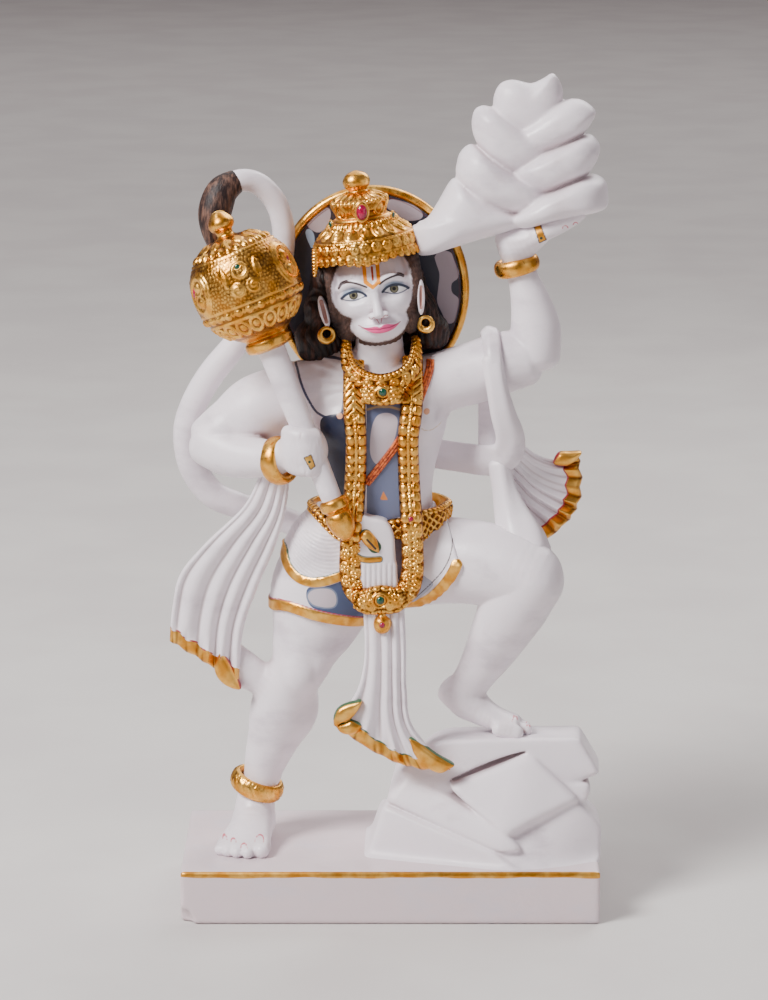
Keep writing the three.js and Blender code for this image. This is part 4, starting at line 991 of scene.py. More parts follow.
def marble(name, layers=(), leaf=None, stone=MARBLE):
    """Polished white marble with faint veins, painted shade where it is hollow, paint, and gold inside a
    mark's line.
    """
    s = Shading(name)
    veins = s.ramp(s.noise(60, 8, 0.62, (1, 1, 1.8)), 0.5, 0.72)
    base = s.mix(veins, stone, MARBLE_VEIN)
    # Painted shade: the marble turns a dull mauve where the hollow mark says it is closed in.
    base = s.mix(s.ramp(s.mark("hollow"), 0.3, 1.15), base, MARBLE_PAINTED_SHADE)
    roughness = s.ramp(s.noise(25, 3), 0.3, 0.7, 0.3, 0.46)
    normal = s.bump(s.noise(14, 2), 0.35, s.bump(s.noise(2.2, 3), 0.12))
    s.shader.subsurface_method = "RANDOM_WALK"
    metal = {}
    if leaf:
        inside = s.ramp(s.mark(leaf), PAINT_EDGE, -PAINT_EDGE)
        base = s.mix(inside, base, leaf_colour(s))
        metal["Metallic"] = s.painted_away(inside, layers)
    return s.finish(
        Base_Color=s.painted(base, layers), Roughness=roughness, Normal=normal, Subsurface_Weight=0.1,
        Subsurface_Radius=(1.0, 0.8, 0.75), Subsurface_Scale=0.002, **metal,
    )


def gold(name):
    """Gold leaf, rubbed unevenly and a little rough."""
    s = Shading(name)
    rough = s.ramp(s.noise(3, 4), 0.3, 0.75, 0.25, 0.42)
    fine = s.bump(s.noise(1.6, 4), 0.1)
    return s.finish(Base_Color=leaf_colour(s), Metallic=1.0, Roughness=rough, Normal=fine)


def make_camera():
    """Camera of the photo, as fitted to the plinth's edges."""
    data = bpy.data.cameras.new("camera")
    data.lens = CAMERA_LENS
    camera = bpy.data.objects.new("camera", data)
    back = Vector((0, -math.cos(CAMERA_ELEVATION), math.sin(CAMERA_ELEVATION)))
    camera.location = CAMERA_TARGET + back * CAMERA_DISTANCE
    camera.rotation_euler = (-back).to_track_quat("-Z", "Y").to_euler()
    bpy.context.scene.collection.objects.link(camera)
    bpy.context.scene.camera = camera


def make_floor():
    """Wide pale floor."""
    corners = [(x * FLOOR_REACH, y * FLOOR_REACH, 0) for x, y in ((-1, -1), (1, -1), (1, 1), (-1, 1))]
    mesh = bpy.data.meshes.new("floor")
    mesh.from_pydata(corners, [], [(0, 1, 2, 3)])
    s = Shading("floor")
    mottle = s.mix(s.ramp(s.noise(180, 4), 0.35, 0.65), FLOOR_GREY, FLOOR_PALE)
    mesh.materials.append(s.finish(Base_Color=mottle, Roughness=0.75))
    floor = bpy.data.objects.new("floor", mesh)
    bpy.context.scene.collection.objects.link(floor)


def make_lights():
    """Large soft lamps: a key from the upper left, a weaker fill, one behind and a wide one above."""
    for name, place, size, power, tint in LAMPS:
        data = bpy.data.lights.new(name, "AREA")
        data.size = size
        data.energy = power
        data.color = tint
        lamp = bpy.data.objects.new(name, data)
        lamp.location = place
        lamp.rotation_euler = (CAMERA_TARGET - Vector(place)).to_track_quat("-Z", "Y").to_euler()
        bpy.context.scene.collection.objects.link(lamp)
    world = bpy.data.worlds.new("studio")
    world.use_nodes = True
    background = world.node_tree.nodes["Background"]
    background.inputs["Color"].default_value = WORLD_TINT
    background.inputs["Strength"].default_value = WORLD_STRENGTH
    bpy.context.scene.world = world


def bead(a, b, size):
    """Half ball, from 0 at its edge to 1 in the middle."""
    return np.sqrt(np.clip(1 - (a * a + b * b) / size ** 2, 0, 1))


def pad(a, b, wide, high):
    """Squarish cushion."""
    return np.sqrt(np.clip(1 - np.abs(a / wide) ** 3.5 - np.abs(b / high) ** 3.5, 0, 1))


def ridge(b, size):
    return np.sqrt(np.clip(1 - (b / size) ** 2, 0, 1))


def rope(a, b, size, pitch):
    return ridge(b, size) * (0.7 + 0.3 * np.cos(2 * math.pi * (a / pitch + 0.35 * b / size)))


def frame_line(a, b, wide, high, thick):
    """Oval line of a rounded section."""
    off = (np.sqrt((a / wide) ** 2 + (b / high) ** 2) - 1) * min(wide, high)
    return ridge(off, thick)


def rosette(a, b, size, petals=8):
    out = np.hypot(a, b) / size
    petal = np.abs(np.cos(petals / 2 * np.arctan2(b, a))) ** 0.6
    return np.maximum(0.9 * ridge(out - 0.66, 0.33) * petal, bead(a, b, 0.34 * size))


def spiral(a, b, size, hand=1):
    """Coil that rises towards its eye."""
    out = np.hypot(a, b) / size
    coil = 0.5 + 0.5 * np.cos(2 * math.pi * 1.8 * out - hand * np.arctan2(b, a))
    return np.clip((1 - out) * 5, 0, 1) * (0.25 + 0.75 * coil ** 0.8) * (1 - 0.3 * out)


def leaf_shape(a, b, width, length):
    """Pointed leaf along b, with a groove down its middle."""
    side = a / (width * np.clip(1 - (b / length) ** 2, 1e-3, 1))
    groove = 0.62 + 0.38 * np.minimum(np.abs(side) * 2.5, 1)
    return np.where(np.abs(b) < length, ridge(side, 1) * groove, 0)


def around(angle, count, radius, shift=0.0):
    """Distance along a turned surface from the nearest of a number of equal places round it."""
    turn = (angle / (2 * math.pi) - shift) * count
    return (turn - np.round(turn)) * 2 * math.pi * radius / count


def repeat(u, pitch, shift=0.0):
    """Distance from the nearest of equal places along a line."""
    turn = u / pitch - shift
    return (turn - np.round(turn)) * pitch


def highest(*parts):
    return np.maximum.reduce(np.broadcast_arrays(*parts))


def filling(u, v, pitch=2.7):
    """Small grains that fill the ground between larger motifs."""
    return 0.4 * bead(repeat(u, pitch, 0.5 * np.round(v / pitch)), repeat(v, pitch), 0.42 * pitch)


def recalculated(mesh):
    """Turns every face of a closed mesh outward."""
    work = bmesh.new()
    work.from_mesh(mesh)
    bmesh.ops.recalc_face_normals(work, faces=work.faces)
    work.to_mesh(mesh)
    work.free()


def grid_faces(rows, columns, first=0, wrap=False):
    """Faces of a grid of points; with wrap, the last column joins the first."""
    across = columns if wrap else columns - 1
    row, column = np.meshgrid(np.arange(rows - 1), np.arange(across), indexing="ij")
    here = first + row * columns
    ahead = (column + 1) % columns
    corners = (here + column, here + ahead, here + columns + ahead, here + columns + column)
    return np.stack(corners, axis=-1).reshape(-1, 4).tolist()


def loft(loops, closed=False):
    """Points and faces through loops of points: joined in a ring, or closed by a point at each end."""
    loops = np.asarray(loops, float)
    if closed:
        loops = np.concatenate([loops, loops[:1]])
    rings, sides = loops.shape[:2]
    faces = np.array(grid_faces(rings, sides, wrap=True))
    if closed:
        faces %= (rings - 1) * sides
        return loops[:-1].reshape(-1, 3), faces.tolist()
    points = np.vstack([loops.reshape(-1, 3), loops[0].mean(axis=0), loops[-1].mean(axis=0)])
    start, tips = np.arange(sides), len(points) - 2
    end = (rings - 1) * sides + start
    faces = faces.tolist()
    faces += [[tips, b, a] for a, b in zip(start, np.roll(start, -1))]
    faces += [[tips + 1, a, b] for a, b in zip(end, np.roll(end, -1))]
    return points, faces


def shell(front, back):
    """Points and faces of a closed sheet between a front and a back grid of points."""
    rows, columns = front.shape[:2]
    count = rows * columns
    faces = grid_faces(rows, columns) + [face[::-1] for face in grid_faces(rows, columns, count)]
    place = np.arange(count).reshape(rows, columns)
    rim = np.concatenate([place[0], place[1:, -1], place[-1, -2::-1], place[-2:0:-1, 0]])
    faces += [[a, b, b + count, a + count] for a, b in zip(rim, np.roll(rim, -1))]
    return np.vstack([front.reshape(-1, 3), back.reshape(-1, 3)]), faces


def tube(rows, sides=20, steps=None, deep_way=(0, 1, 0), dome=0.7, swell=None, cap_rings=4):
    """Loops of an oval tube with rounded ends through rows of x, y, z, half width and half depth."""
    steps = steps or 5 * (len(rows) - 1)
    rings = curve(rows, steps)
    run = unit(np.gradient(rings[:, :3], axis=0))
    deep = unit(deep_way - run * (run @ np.array(deep_way, float))[:, None])
    wide = np.cross(run, deep)
    bow = np.sin(np.linspace(0, math.pi / 2, cap_rings + 1)[1:] * 0.97)
    lift = np.concatenate([-bow[::-1], np.zeros(steps + 1), bow])[:, None]
    at = np.concatenate([np.zeros(cap_rings, int), np.arange(steps + 1), np.full(cap_rings, steps)])
    size = np.sqrt(1 - lift ** 2)
    rings, run, deep, wide = rings[at], run[at], deep[at], wide[at]
    middle = rings[:, :3] + run * lift * dome * np.minimum(rings[:, 3:4], rings[:, 4:5])
    angle = np.linspace(0, 2 * math.pi, sides, endpoint=False)
    grow = size * (swell((at / steps)[:, None], angle) if swell else np.ones(sides))
    across = (grow * rings[:, 3:4] * np.cos(angle))[..., None] * wide[:, None]
    inward = (grow * rings[:, 4:5] * np.sin(angle))[..., None] * deep[:, None]
    return middle[:, None] + across + inward


def hoop(middle, axis, radius, wire, wide=None, heavy=0.0, relief=None, steps=160, sides=28):
    """Loops of a ring of round wire, or of a band when its half width is given, heavier at the bottom."""
    axis = unit(axis)
    first = unit(np.cross(axis, (0.3, 0.2, 1.0)))
    second = np.cross(axis, first)
    turn = np.linspace(0, 2 * math.pi, steps, endpoint=False)[:, None]
    out = np.cos(turn) * first + np.sin(turn) * second
    angle = np.linspace(0, 2 * math.pi, sides, endpoint=False)[None, :]
    grow = wire * (1 - heavy * out[:, 2:])
    along = (wide or grow) * np.sin(angle) + 0 * turn
    spread = grow * np.cos(angle)
    lift = relief(turn * radius, along) * (np.cos(angle) > 0) if relief else 0 * spread
    return np.array(middle) + out[:, None] * (radius + spread + lift)[..., None] + axis * along[..., None]


def turned(foot, axis, profile, sides, spacing, depth_share=1.0, relief=None):
    """Loops of a turned shape with relief along its normal; angle 0 is the viewer's side."""
    rows = fill_in(curve(profile, 6 * (len(profile) - 1)), spacing)
    axis = unit(axis)
    back = unit(np.array([0, 1, 0]) - axis * axis[1])
    right = np.cross(back, axis)
    slope = unit(np.gradient(rows, axis=0))
    angle = np.linspace(-math.pi, math.pi, sides, endpoint=False)
    radius, along = rows[:, :1], rows[:, 1:2]
    lift = relief(along, angle, radius) if relief else np.zeros((len(rows), sides))
    out = np.sin(angle)[:, None] * right - np.cos(angle)[:, None] * back * depth_share
    spread, rise = radius + lift * slope[:, 1:2], along - lift * slope[:, :1]
    return np.array(foot) + spread[..., None] * out + rise[..., None] * axis, lift


def strip(rows, steps, across_steps, relief, thickness, bulge=0.0, outs=(0, -1, 0)):
    """Front, back and relief of a raised strip along rows of x, y, z and half width."""
    rings = curve(rows, steps)
    middle = rings[:, :3]
    run = unit(np.gradient(middle, axis=0))
    outs = np.broadcast_to(np.array(outs, float), middle.shape)
    out = unit(outs - run * np.sum(run * outs, axis=1, keepdims=True))
    side = np.cross(out, run)
    length = np.concatenate([[0], np.cumsum(np.linalg.norm(np.diff(middle, axis=0), axis=1))])
    across = np.linspace(-1, 1, across_steps)
    wide = rings[:, 3:4] * across
    lift = relief(length[:, None], wide, rings[:, 3:4])
    base = middle[:, None] + side[:, None] * wide[..., None]
    edge = np.sqrt(1 - 0.97 * np.abs(across) ** 6)
    height = (thickness - bulge * across ** 2) * edge + lift
    return base + out[:, None] * height[..., None], base - 0.8 * out[:, None] * edge[:, None], lift


def add_strip(name, rows, steps, across_steps, relief, thickness, material, full=1.0, **shape):
    front, back, lift = strip(rows, steps, across_steps, relief, thickness, **shape)
    points, faces = shell(front, back)
    deep = deepness(lift, full)
    add_piece(name, points, faces, material, {"hollow": np.concatenate([deep.ravel(), 0 * deep.ravel()])})


def fill_in(corners, spacing):
    """Corners of a line with more points between them, no further apart than a spacing."""
    corners = np.array(corners, float)
    pieces = []
    for start, end in zip(corners[:-1], corners[1:]):
        count = max(int(np.linalg.norm(end - start) / spacing), 1)
        pieces.append(start + (end - start) * np.arange(count)[:, None] / count)
    return np.vstack(pieces + [corners[-1:]])


def cloth_grid(cloth, across_steps=150, fall_steps=90):
    """Middle surface of a hanging cloth, the painted shade in its fold valleys and ruffles, and how far
    across each column lies.
    """
    across = 0.5 - 0.5 * np.cos(np.linspace(0, math.pi, across_steps))
    fall = np.linspace(0, 1, fall_steps)
    left, right = at_rows(cloth.left, fall), at_rows(cloth.right, fall)
    down = unit((left + right)[-1] - (left + right)[int(0.7 * fall_steps)])
    a, f = across[None, :], fall[:, None]
    uneven = a + 0.03 * np.sin(7 * a + 1)
    crest = np.sqrt(0.03 + 0.97 * np.cos(math.pi * cloth.folds * uneven) ** 2)
    zigzag = np.arcsin(np.sin(2 * math.pi * cloth.ruffles * (a + 0.02 * np.sin(11 * a)))) * 2 / math.pi
    height = cloth.left[0][2] - cloth.left[-1][2]
    near = np.clip(1 - (1 - f) * height / (1.7 * HEM_WIDTH), 0, 1)
    ruffle = RUFFLE_DEPTH * near * zigzag
    inward = cloth.depth * (0.35 + 0.65 * f) * (0.6 - crest) * (1 - 0.6 * near) + ruffle
    droop = cloth.sag * f * f * np.sin(math.pi * a) + 0.5 * ruffle
    middle = left[:, None] + (right - left)[:, None] * a[..., None] + down * droop[..., None]
    middle = middle + np.array([0, 1, 0]) * inward[..., None]
    # Painted shade, darkest in the valleys between folds and in the ruffles' dips near the hem.
    fold_shade = np.maximum(np.clip(1 - 1.7 * crest, 0, 1) + 0 * f, near * np.clip(zigzag, 0, 1))
    return middle, fold_shade, across


def cloth_piece(name, cloth, line_colour):
    """Hanging cloth as a closed sheet with rounded edges and a gold hem a little proud."""
    middle, fold_shade, across = cloth_grid(cloth)
    width = np.linalg.norm(middle[:, -1] - middle[:, 0], axis=-1)[:, None]
    steps = np.linalg.norm(np.diff(middle[::-1], axis=0), axis=-1)
    half = CLOTH_THICKNESS / 2
    side = np.minimum(across, 1 - across) * width
    low = np.vstack([0 * across, np.cumsum(steps, axis=0)])[::-1]
    round_off = np.sqrt(1 - np.clip(1 - np.minimum(side, low) / half, 0, 0.98) ** 2)
    hem = low - HEM_WIDTH
    proud = 0.8 * np.clip(0.8 - hem, 0, 1)
    inward = np.array([0, 1, 0])
    front = middle - inward * ((half + proud) * round_off)[..., None]
    points, faces = shell(front, middle + inward * (half * round_off)[..., None])
    marks = {
        "leaf": np.tile(hem.ravel(), 2),
        "hollow": np.concatenate([fold_shade.ravel(), 0 * fold_shade.ravel()]),
    }
    marks["hem_line"] = np.abs(marks["leaf"] - 0.3) - 0.65
    add_piece(name, points, faces, marble(name + "_paint", [("hem_line", line_colour)], leaf="leaf"), marks)


def flap_piece(name, flap, line_colour):
    """Turned-over corner of a cloth in gold leaf, with a painted line along part of its edge."""
    outline = closed_curve(flap.outline)
    (left, bottom), (right, top) = outline.min(axis=0) - 2, outline.max(axis=0) + 2
    field = Field((left, flap.front - 2, bottom), (right, flap.back + 2, top), 0.5)
    field.join([plate(flap.outline, lambda x, z: flap.front + 0 * x, flap.back, 5)])
    points, quads = field.surface(2)
    x, y, z = points.T
    line = to_line(x, z, curve(flap.outline[:flap.lined], 4 * flap.lined)) - 0.7
    # The hollow mark paints shade on the flap, growing towards its back.
    marks = {
        "leaf": np.full(len(points), -2.0),
        "hollow": 0.5 * np.clip((y - flap.front) / 5, 0, 1),
        "line": line,
    }
    add_piece(name, points, quads, marble(name + "_paint", [("line", line_colour)], leaf="leaf"), marks)


def to_line(x, z, corners, closed=False):
    """Distance in the picture to a line through corners; inside a closed one it is negative."""
    corners = np.array(corners, float)
    ends = np.roll(corners, -1, axis=0) if closed else corners[1:]
    nearest = np.full(x.shape, FAR)
    inside = np.zeros(x.shape, bool)
    for (ax, az), (bx, bz) in zip(corners, ends):
        dx, dz = bx - ax, bz - az
        t = np.clip(((x - ax) * dx + (z - az) * dz) / (dx * dx + dz * dz), 0, 1)
        nearest = np.minimum(nearest, np.hypot(x - ax - t * dx, z - az - t * dz))
        if closed and az != bz:
            inside ^= ((az > z) != (bz > z)) & (x < ax + (z - az) * dx / dz)
    return np.where(inside, -nearest, nearest)


def closed_curve(corners, steps=5):
    """Corners of a closed outline with more between them, smoothly round."""
    count = len(corners)
    rows = curve(corners[-1:] + corners + corners[:2], steps * (count + 2))
    return rows[steps:steps * (count + 1)]


def plate(corners, front, back, rounding=2.0):
    """Slab with a smooth outline in the picture, between a front surface and a flat back."""
    outline = closed_curve(corners)

    def distance(px, py, pz):
        x, z = np.broadcast_arrays(px[:, 0], pz[:, 0])
        side = to_line(x, z, outline, True)[:, None]
        depth = np.maximum(front(x, z)[:, None] - py, py - back)
        return -smooth_min(-side, -depth, rounding)

    low, high = outline.min(axis=0), outline.max(axis=0)
    nearest = front(*np.meshgrid(np.linspace(low[0], high[0], 9), np.linspace(low[1], high[1], 9))).min()
    return Shape(np.array([low[0], nearest, low[1]]), np.array([high[0], back, high[1]]), distance)


def boulder(x, z, depth, corners):
    """Boulder of the mountain as a shape whose outline in the picture has the given corners."""
    closed = np.array(corners + corners[:3], float)
    rim = at_rows(closed, np.linspace(0, 1, 40 * len(closed)))[20:-60] - (x, z)
    turn = np.arctan2(rim[:, 1], rim[:, 0])
    order = np.argsort(turn)
    turns, reaches = turn[order], np.hypot(*rim.T)[order]
    spread = np.max(np.abs(rim), axis=0)

    def distance(px, py, pz):
        flat = np.hypot(px - x, pz - z) + 0 * py
        reach = np.interp(np.arctan2(pz - z, px - x), turns, reaches, period=2 * math.pi)
        inside = np.sqrt((flat / reach) ** (2 / 0.7) + (py / depth) ** 2)
        return (inside - 1) * 0.6 * np.minimum(reach, depth) / np.maximum(inside, 0.6)

    low = np.array([x - spread[0], -depth, z - spread[1]])
    high = np.array([x + spread[0], depth, z + spread[1]])
    return Shape(low, high, distance)


def block(corners, rounding=1.5):
    """Convex block with the given corners and slightly rounded edges."""
    work = bmesh.new()
    for corner in corners:
        work.verts.new(corner)
    bmesh.ops.convex_hull(work, input=work.verts)
    work.normal_update()
    planes = {tuple(np.round((*face.normal, face.normal.dot(face.verts[0].co)), 2)) for face in work.faces}
    work.free()
    corners = np.array(corners, float)

    def distance(px, py, pz):
        inside = None
        for a, b, c, d in planes:
            plane = a * px + b * py + c * pz - d
            inside = plane if inside is None else -smooth_min(-inside, -plane, rounding)
        return inside

    return Shape(corners.min(axis=0), corners.max(axis=0), distance)


def standing_toe(x, y, size):
    """Toe of the foot on the plinth, pointing at the viewer."""
    radius = TOE_RADIUS * size
    back, tip = (x + 1, y + 16, radius, radius, radius), (x, y + 4.4 * size, radius - 0.5, radius, radius)
    return limb([back, tip], (0, 0, 1), 1)


def raised_toe(x, y, size):
    """Toe of the foot on the rock, pointing to the right."""
    radius = TOE_RADIUS * size
    back, tip = (x - 18, y + 1, 92, radius, radius), (x - 4.4 * size, y, 89.5, radius, radius)
    return limb([back, tip], (0, 1, 0), 1)


def body_groups():
    """Shapes of the figure's body and how softly each group runs into the rest."""
    return [
        (limb(TORSO, dome=0.3), 0), (limb(NECK), 8), (lumps(CHEST), 9), (lumps(BELLY), 12),
        (limb(RIGHT_UPPER_ARM) + limb(RIGHT_FOREARM), 7), (limb(LEFT_UPPER_ARM) + limb(LEFT_FOREARM), 7),
        (limb(STANDING_LEG), 6), (limb(BRIDGE_TO_LEG), 7), (limb(RAISED_THIGH) + limb(RAISED_SHIN), 7),
        (lumps(KNEES_AND_CALF), 9), (lumps(SLEEVE), 6), (limb(STANDING_FOOT, (0, 0, 1)), 6),
        (limb(RAISED_FOOT), 5),
        ([shape for row in STANDING_TOES for shape in standing_toe(*row)], 2.5),
        ([shape for row in RAISED_TOES for shape in raised_toe(*row)], 2.5),
    ]


def in_front(distance, normals):
    """Keeps paint to the skin that faces the viewer."""
    return np.maximum(distance, 6 * (normals[:, 1] + 0.05))


def skin_marks(points, normals):
    """Distances to the edges of what is painted on the skin, in millimetres."""
    x, _, z = points.T
    inside = lambda corners: to_line(x, z, closed_curve(corners), True)
    paint = {
        "slate": to_line(x, z, CHEST_SLATE, True), "panel": inside(CHEST_PANEL),
        "tan": to_line(x, z, CHEST_TAN_LINE) - 0.8, "left_edge": np.abs(inside(LEFT_PANEL)) - 0.9,
        "navy": inside(LEFT_NAVY_SHADE), "nipple": least([disc(x, z, place, 2.2) for place in NIPPLES]),
        "breast": stroke(x, z, BREAST_LINE, 0.45), "navel": to_line(x, z, NAVEL, True),
    }
    marks = {name: in_front(values, normals) for name, values in paint.items()}
    marks["toenail"] = nail_arcs(x, z, TOENAILS + RAISED_TOENAILS, normals)
    return marks


def make_body():
    """Torso, arms, legs and feet in one smooth skin, with the sacred thread over it."""
    field = Field((-160, -62, -3), (140, 48, 460), 1.25)
    for shapes, blend in body_groups():
        field.join(shapes, blend)
    points, quads = field.surface()
    normals = normals_of(points, quads)
    marks = skin_marks(points, normals)
    marks["hollow"] = field.hollowness(points, quads)
    points = points + normals * (0.35 * np.clip(1 - marks["nipple"], 0, 1))[:, None]
    add_piece("body", points, quads, marble("marble_skin", SKIN_PAINT), marks)
    make_thread(field)


def make_thread(body):
    """Sacred thread of three orange cords across the chest."""
    cord = Shading("thread_paint")
    twist = cord.ramp(cord.noise(2.2, 2), 0.35, 0.65)
    orange = cord.mix(twist, colour(150, 52, 22), colour(226, 118, 58))
    paint = cord.finish(Base_Color=orange, Roughness=0.4)
    middle = curve(THREAD, 24)
    across = unit(np.gradient(middle, axis=0))[:, ::-1] * (1, -1)
    for index, shift in enumerate((-1.9, 0, 1.9)):
        rows = [(x, body.front(x, z) - 0.5, z, 1.05, 1.05) for x, z in middle + shift * across]
        add_loft(f"thread_{index}", tube(rows, 10, 120), paint)


def fist_field():
    """Right hand closed round the mace's shaft."""
    right = Field((-96, -66, 275), (-40, -16, 345), 0.8)
    right.join(lumps(FIST)).join(limb(RIGHT_FOREARM), 6)
    for i in range(4):
        x, z = -63 + 1.2 * i, 318 - 8.2 * i
        finger = [(x - 11, -47, z + 1.5, 4.8, 4.8), (x, -54.6, z, 4.8, 4.8), (x + 10, -50, z - 2, 4.4, 4.4)]
        right.join(limb(finger), 4)
    return right


def palm_field():
    """Left hand, flat under the mountain."""
    left = Field((68, -34, 420), (150, 34, 484), 0.9)
    left.join(limb(RAISED_PALM)).join(limb(LEFT_FOREARM), 6)
    for i in range(4):
        y = -19 + 11 * i
        root, joint = (104, y, 456, 6, 6), (120, y, 463.3, 5.6, 5.6)
        end, tip = (131, y, 469.3, 5, 5), (136, y, 472, 4, 4)
        left.join(limb([root, joint, end, tip]), 2.5)
    return left


def make_hands():
    """Both hands with their painted rings and nails."""
    for name, field, ring, stone, nails in (
        ("right_hand", fist_field(), FIST_RING, FIST_RING_STONE, []),
        ("left_hand", palm_field(), PALM_RING, PALM_RING_STONE, PALM_NAILS),
    ):
        points, quads = field.surface()
        normals = normals_of(points, quads)
        x, _, z = points.T
        leaf = in_front(to_line(x, z, ring, True), normals)
        marks = {
            "leaf": leaf, "hollow": field.hollowness(points, quads), "edge": np.abs(leaf - 0.1) - 0.4,
            "stone": in_front(disc(x, z, stone, 1.1), normals), "nail": nail_arcs(x, z, nails, normals),
        }
        add_piece(name, points, quads, marble("marble_" + name, HAND_PAINT, leaf="leaf"), marks)


def nail_arcs(x, z, nails, normals):
    """Thin painted arcs round the upper edge of nails given by x, z and radius."""
    arcs = [np.abs(disc(x, z, place[:2], place[2])) - 0.4 + 9 * (z < place[1] - 0.4) for place in nails]
    return in_front(least(arcs), normals) if arcs else np.full(len(x), 9.0)


def head_places(points):
    """Drawn places of points given in the face's own axes."""
    s, y, t = np.asarray(points, float).T
    cos, sin = math.cos(HEAD_LEAN), math.sin(HEAD_LEAN)
    return FACE_MIDDLE + np.stack([s * cos - t * sin, y, s * sin + t * cos], axis=1)


def lid_depth(s):
    """Depth of the eyelids, furthest forward over the middle of each eye."""
    return -25.9 + 0.045 * (abs(s) - 14) ** 2


def face_field():
    """Skull, muzzle, nose, eyes and lips in the face's own axes."""
    field = Field((-34, -44, -46), (35, 10, 34), 0.45)
    for rows, blend in FACE_LUMPS:
        field.join(lumps(rows), blend)
    for rows, blend in FACE_LINES:
        field.join(limb(rows, steps=3), blend)
    field.join(lumps(NOSE_WINGS), 1.6)
    field.carve(lumps(SOCKETS), 3)
    field.join(lumps(EYEBALLS), 0.6)
    for corners in EYES:
        upper = [(s, lid_depth(s), t + 0.5, 0.9, 0.9) for s, t in corners[:LID_CORNERS]]
        lower = [(s, lid_depth(s), t - 0.4, 0.6, 0.6) for s, t in corners[LID_CORNERS - 1:]]
        field.join(limb(upper, steps=3), 1.2).join(limb(lower, steps=3), 1.2)
    field.join(limb(UPPER_LIP, steps=3), 1.2).join(limb(LOWER_LIP, steps=3), 1.2)
    return field.carve(lumps(NOSTRILS), 1)


def least(parts):
    """Lesser value of all parts, place by place."""
    return np.minimum.reduce(parts)


def stroke(s, t, corners, half_width):
    """Distance to a painted line's edge, with the line's corners rounded."""
    return to_line(s, t, curve(corners, 4 * len(corners)), False) - half_width


def disc(s, t, middle, radius):
    """Distance to the edge of a painted disc."""
    return np.hypot(s - middle[0], t - middle[1]) - radius


def face_marks(points):
    """Distances to the edges of what is painted on the face, in millimetres."""
    s, _, t = points.T
    lids = [corners[:LID_CORNERS] for corners in EYES]
    lashes = [corners[LID_CORNERS - 1:] + corners[:1] for corners in EYES]
    eye = least([to_line(s, t, closed_curve(corners), True) for corners in EYES])
    iris = least([disc(s, t, middle, IRIS_RADIUS) for middle in IRISES])
    return {
        "mask": to_line(s, t, closed_curve(MASK, 3), True),
        "lid_shade": least([to_line(s, t, corners, True) for corners in EYE_SHADOWS]),
        "eye": eye,
        "iris": np.maximum(iris, eye),
        "iris_edge": np.maximum(np.abs(iris + 0.3) - 0.35, eye),
        "pupil": least([disc(s, t, middle, PUPIL_RADIUS) for middle in IRISES]),
        "lid": least([stroke(s, t, corners, 0.95) for corners in lids]),
        "lash": least([stroke(s, t, corners, 0.45) for corners in lashes]),
        "brow": least([stroke(s, t, corners, 0.75) for corners in BROWS]),
        "tilak": to_line(s, t, TILAK_BAR) - 1.35,
        "tilak_stroke": stroke(s, t, TILAK_STROKE, 0.75),
        "lips": to_line(s, t, closed_curve(LIPS), True),
        "mouth": stroke(s, t, MOUTH_LINE, 0.3),
        "nostril": least([stroke(s, t, corners, 0.28) for corners in NOSTRIL_LINES]),
    }


def face_material():
    """White skin with the painted features and painted shade where it is hollow, and fur outside the mask's
    ragged edge.
    """
    s = Shading("face_paint")
    veins = s.ramp(s.noise(60, 8, 0.62), 0.5, 0.75)
    skin = s.mix(veins, colour(238, 231, 238), colour(222, 212, 222))
    # Painted shade: the skin turns mauve in the face's hollow places.
    skin = s.mix(s.ramp(s.mark("hollow"), 0.4, 1.3), skin, colour(204, 182, 190))
    skin = s.mix(s.ramp(s.mark("lid_shade"), 1.6, -1.6), skin, colour(140, 155, 175))
    skin = s.painted(skin, FACE_PAINT)
    hairs = s.ramp(s.noise(2.5, 4, 0.7, (2, 2, 0.6)), 0.35, 0.65)
    fur = s.mix(hairs, colour(60, 42, 36), colour(94, 68, 58))
    fur = s.mix(s.ramp(s.mark("mask"), 3.0, 10.0), fur, FUR_DARK)
    ragged = s.node("ShaderNodeMath", {"operation": "MULTIPLY_ADD"})
    for socket, value in zip(ragged.inputs, (s.noise(2.5, 3, 0.6), 2.5, s.mark("mask"))):
        s.set(socket, value)
    base = s.mix(s.ramp(ragged.outputs[0], 0.5, 2.4), skin, fur)
    rough = s.ramp(ragged.outputs[0], 0.5, 2.4, 0.34, 0.75)
    return s.finish(Base_Color=base, Roughness=rough, Normal=s.bump(s.noise(1.6, 3), 0.12),
                    Subsurface_Weight=0.08, Subsurface_Radius=(1.0, 0.8, 0.75), Subsurface_Scale=0.002)


def make_face():
    """Face with its painted mask and the fur's fine strands round it."""
    field = face_field()
    points, quads = field.surface(1)
    marks = face_marks(points)
    marks["hollow"] = field.hollowness(points, quads, 3)
    turn = np.arctan2(points[:, 2] + 6, points[:, 0])
    strands = np.cos(60 * turn + 3 * np.sin(np.hypot(points[:, 0], points[:, 2]) / 3))
    out = normals_of(points, quads)
    points = points + out * (0.18 * strands * np.clip(marks["mask"] - 1, 0, 1))[:, None]
    add_piece("face", head_places(points), quads, face_material(), marks)


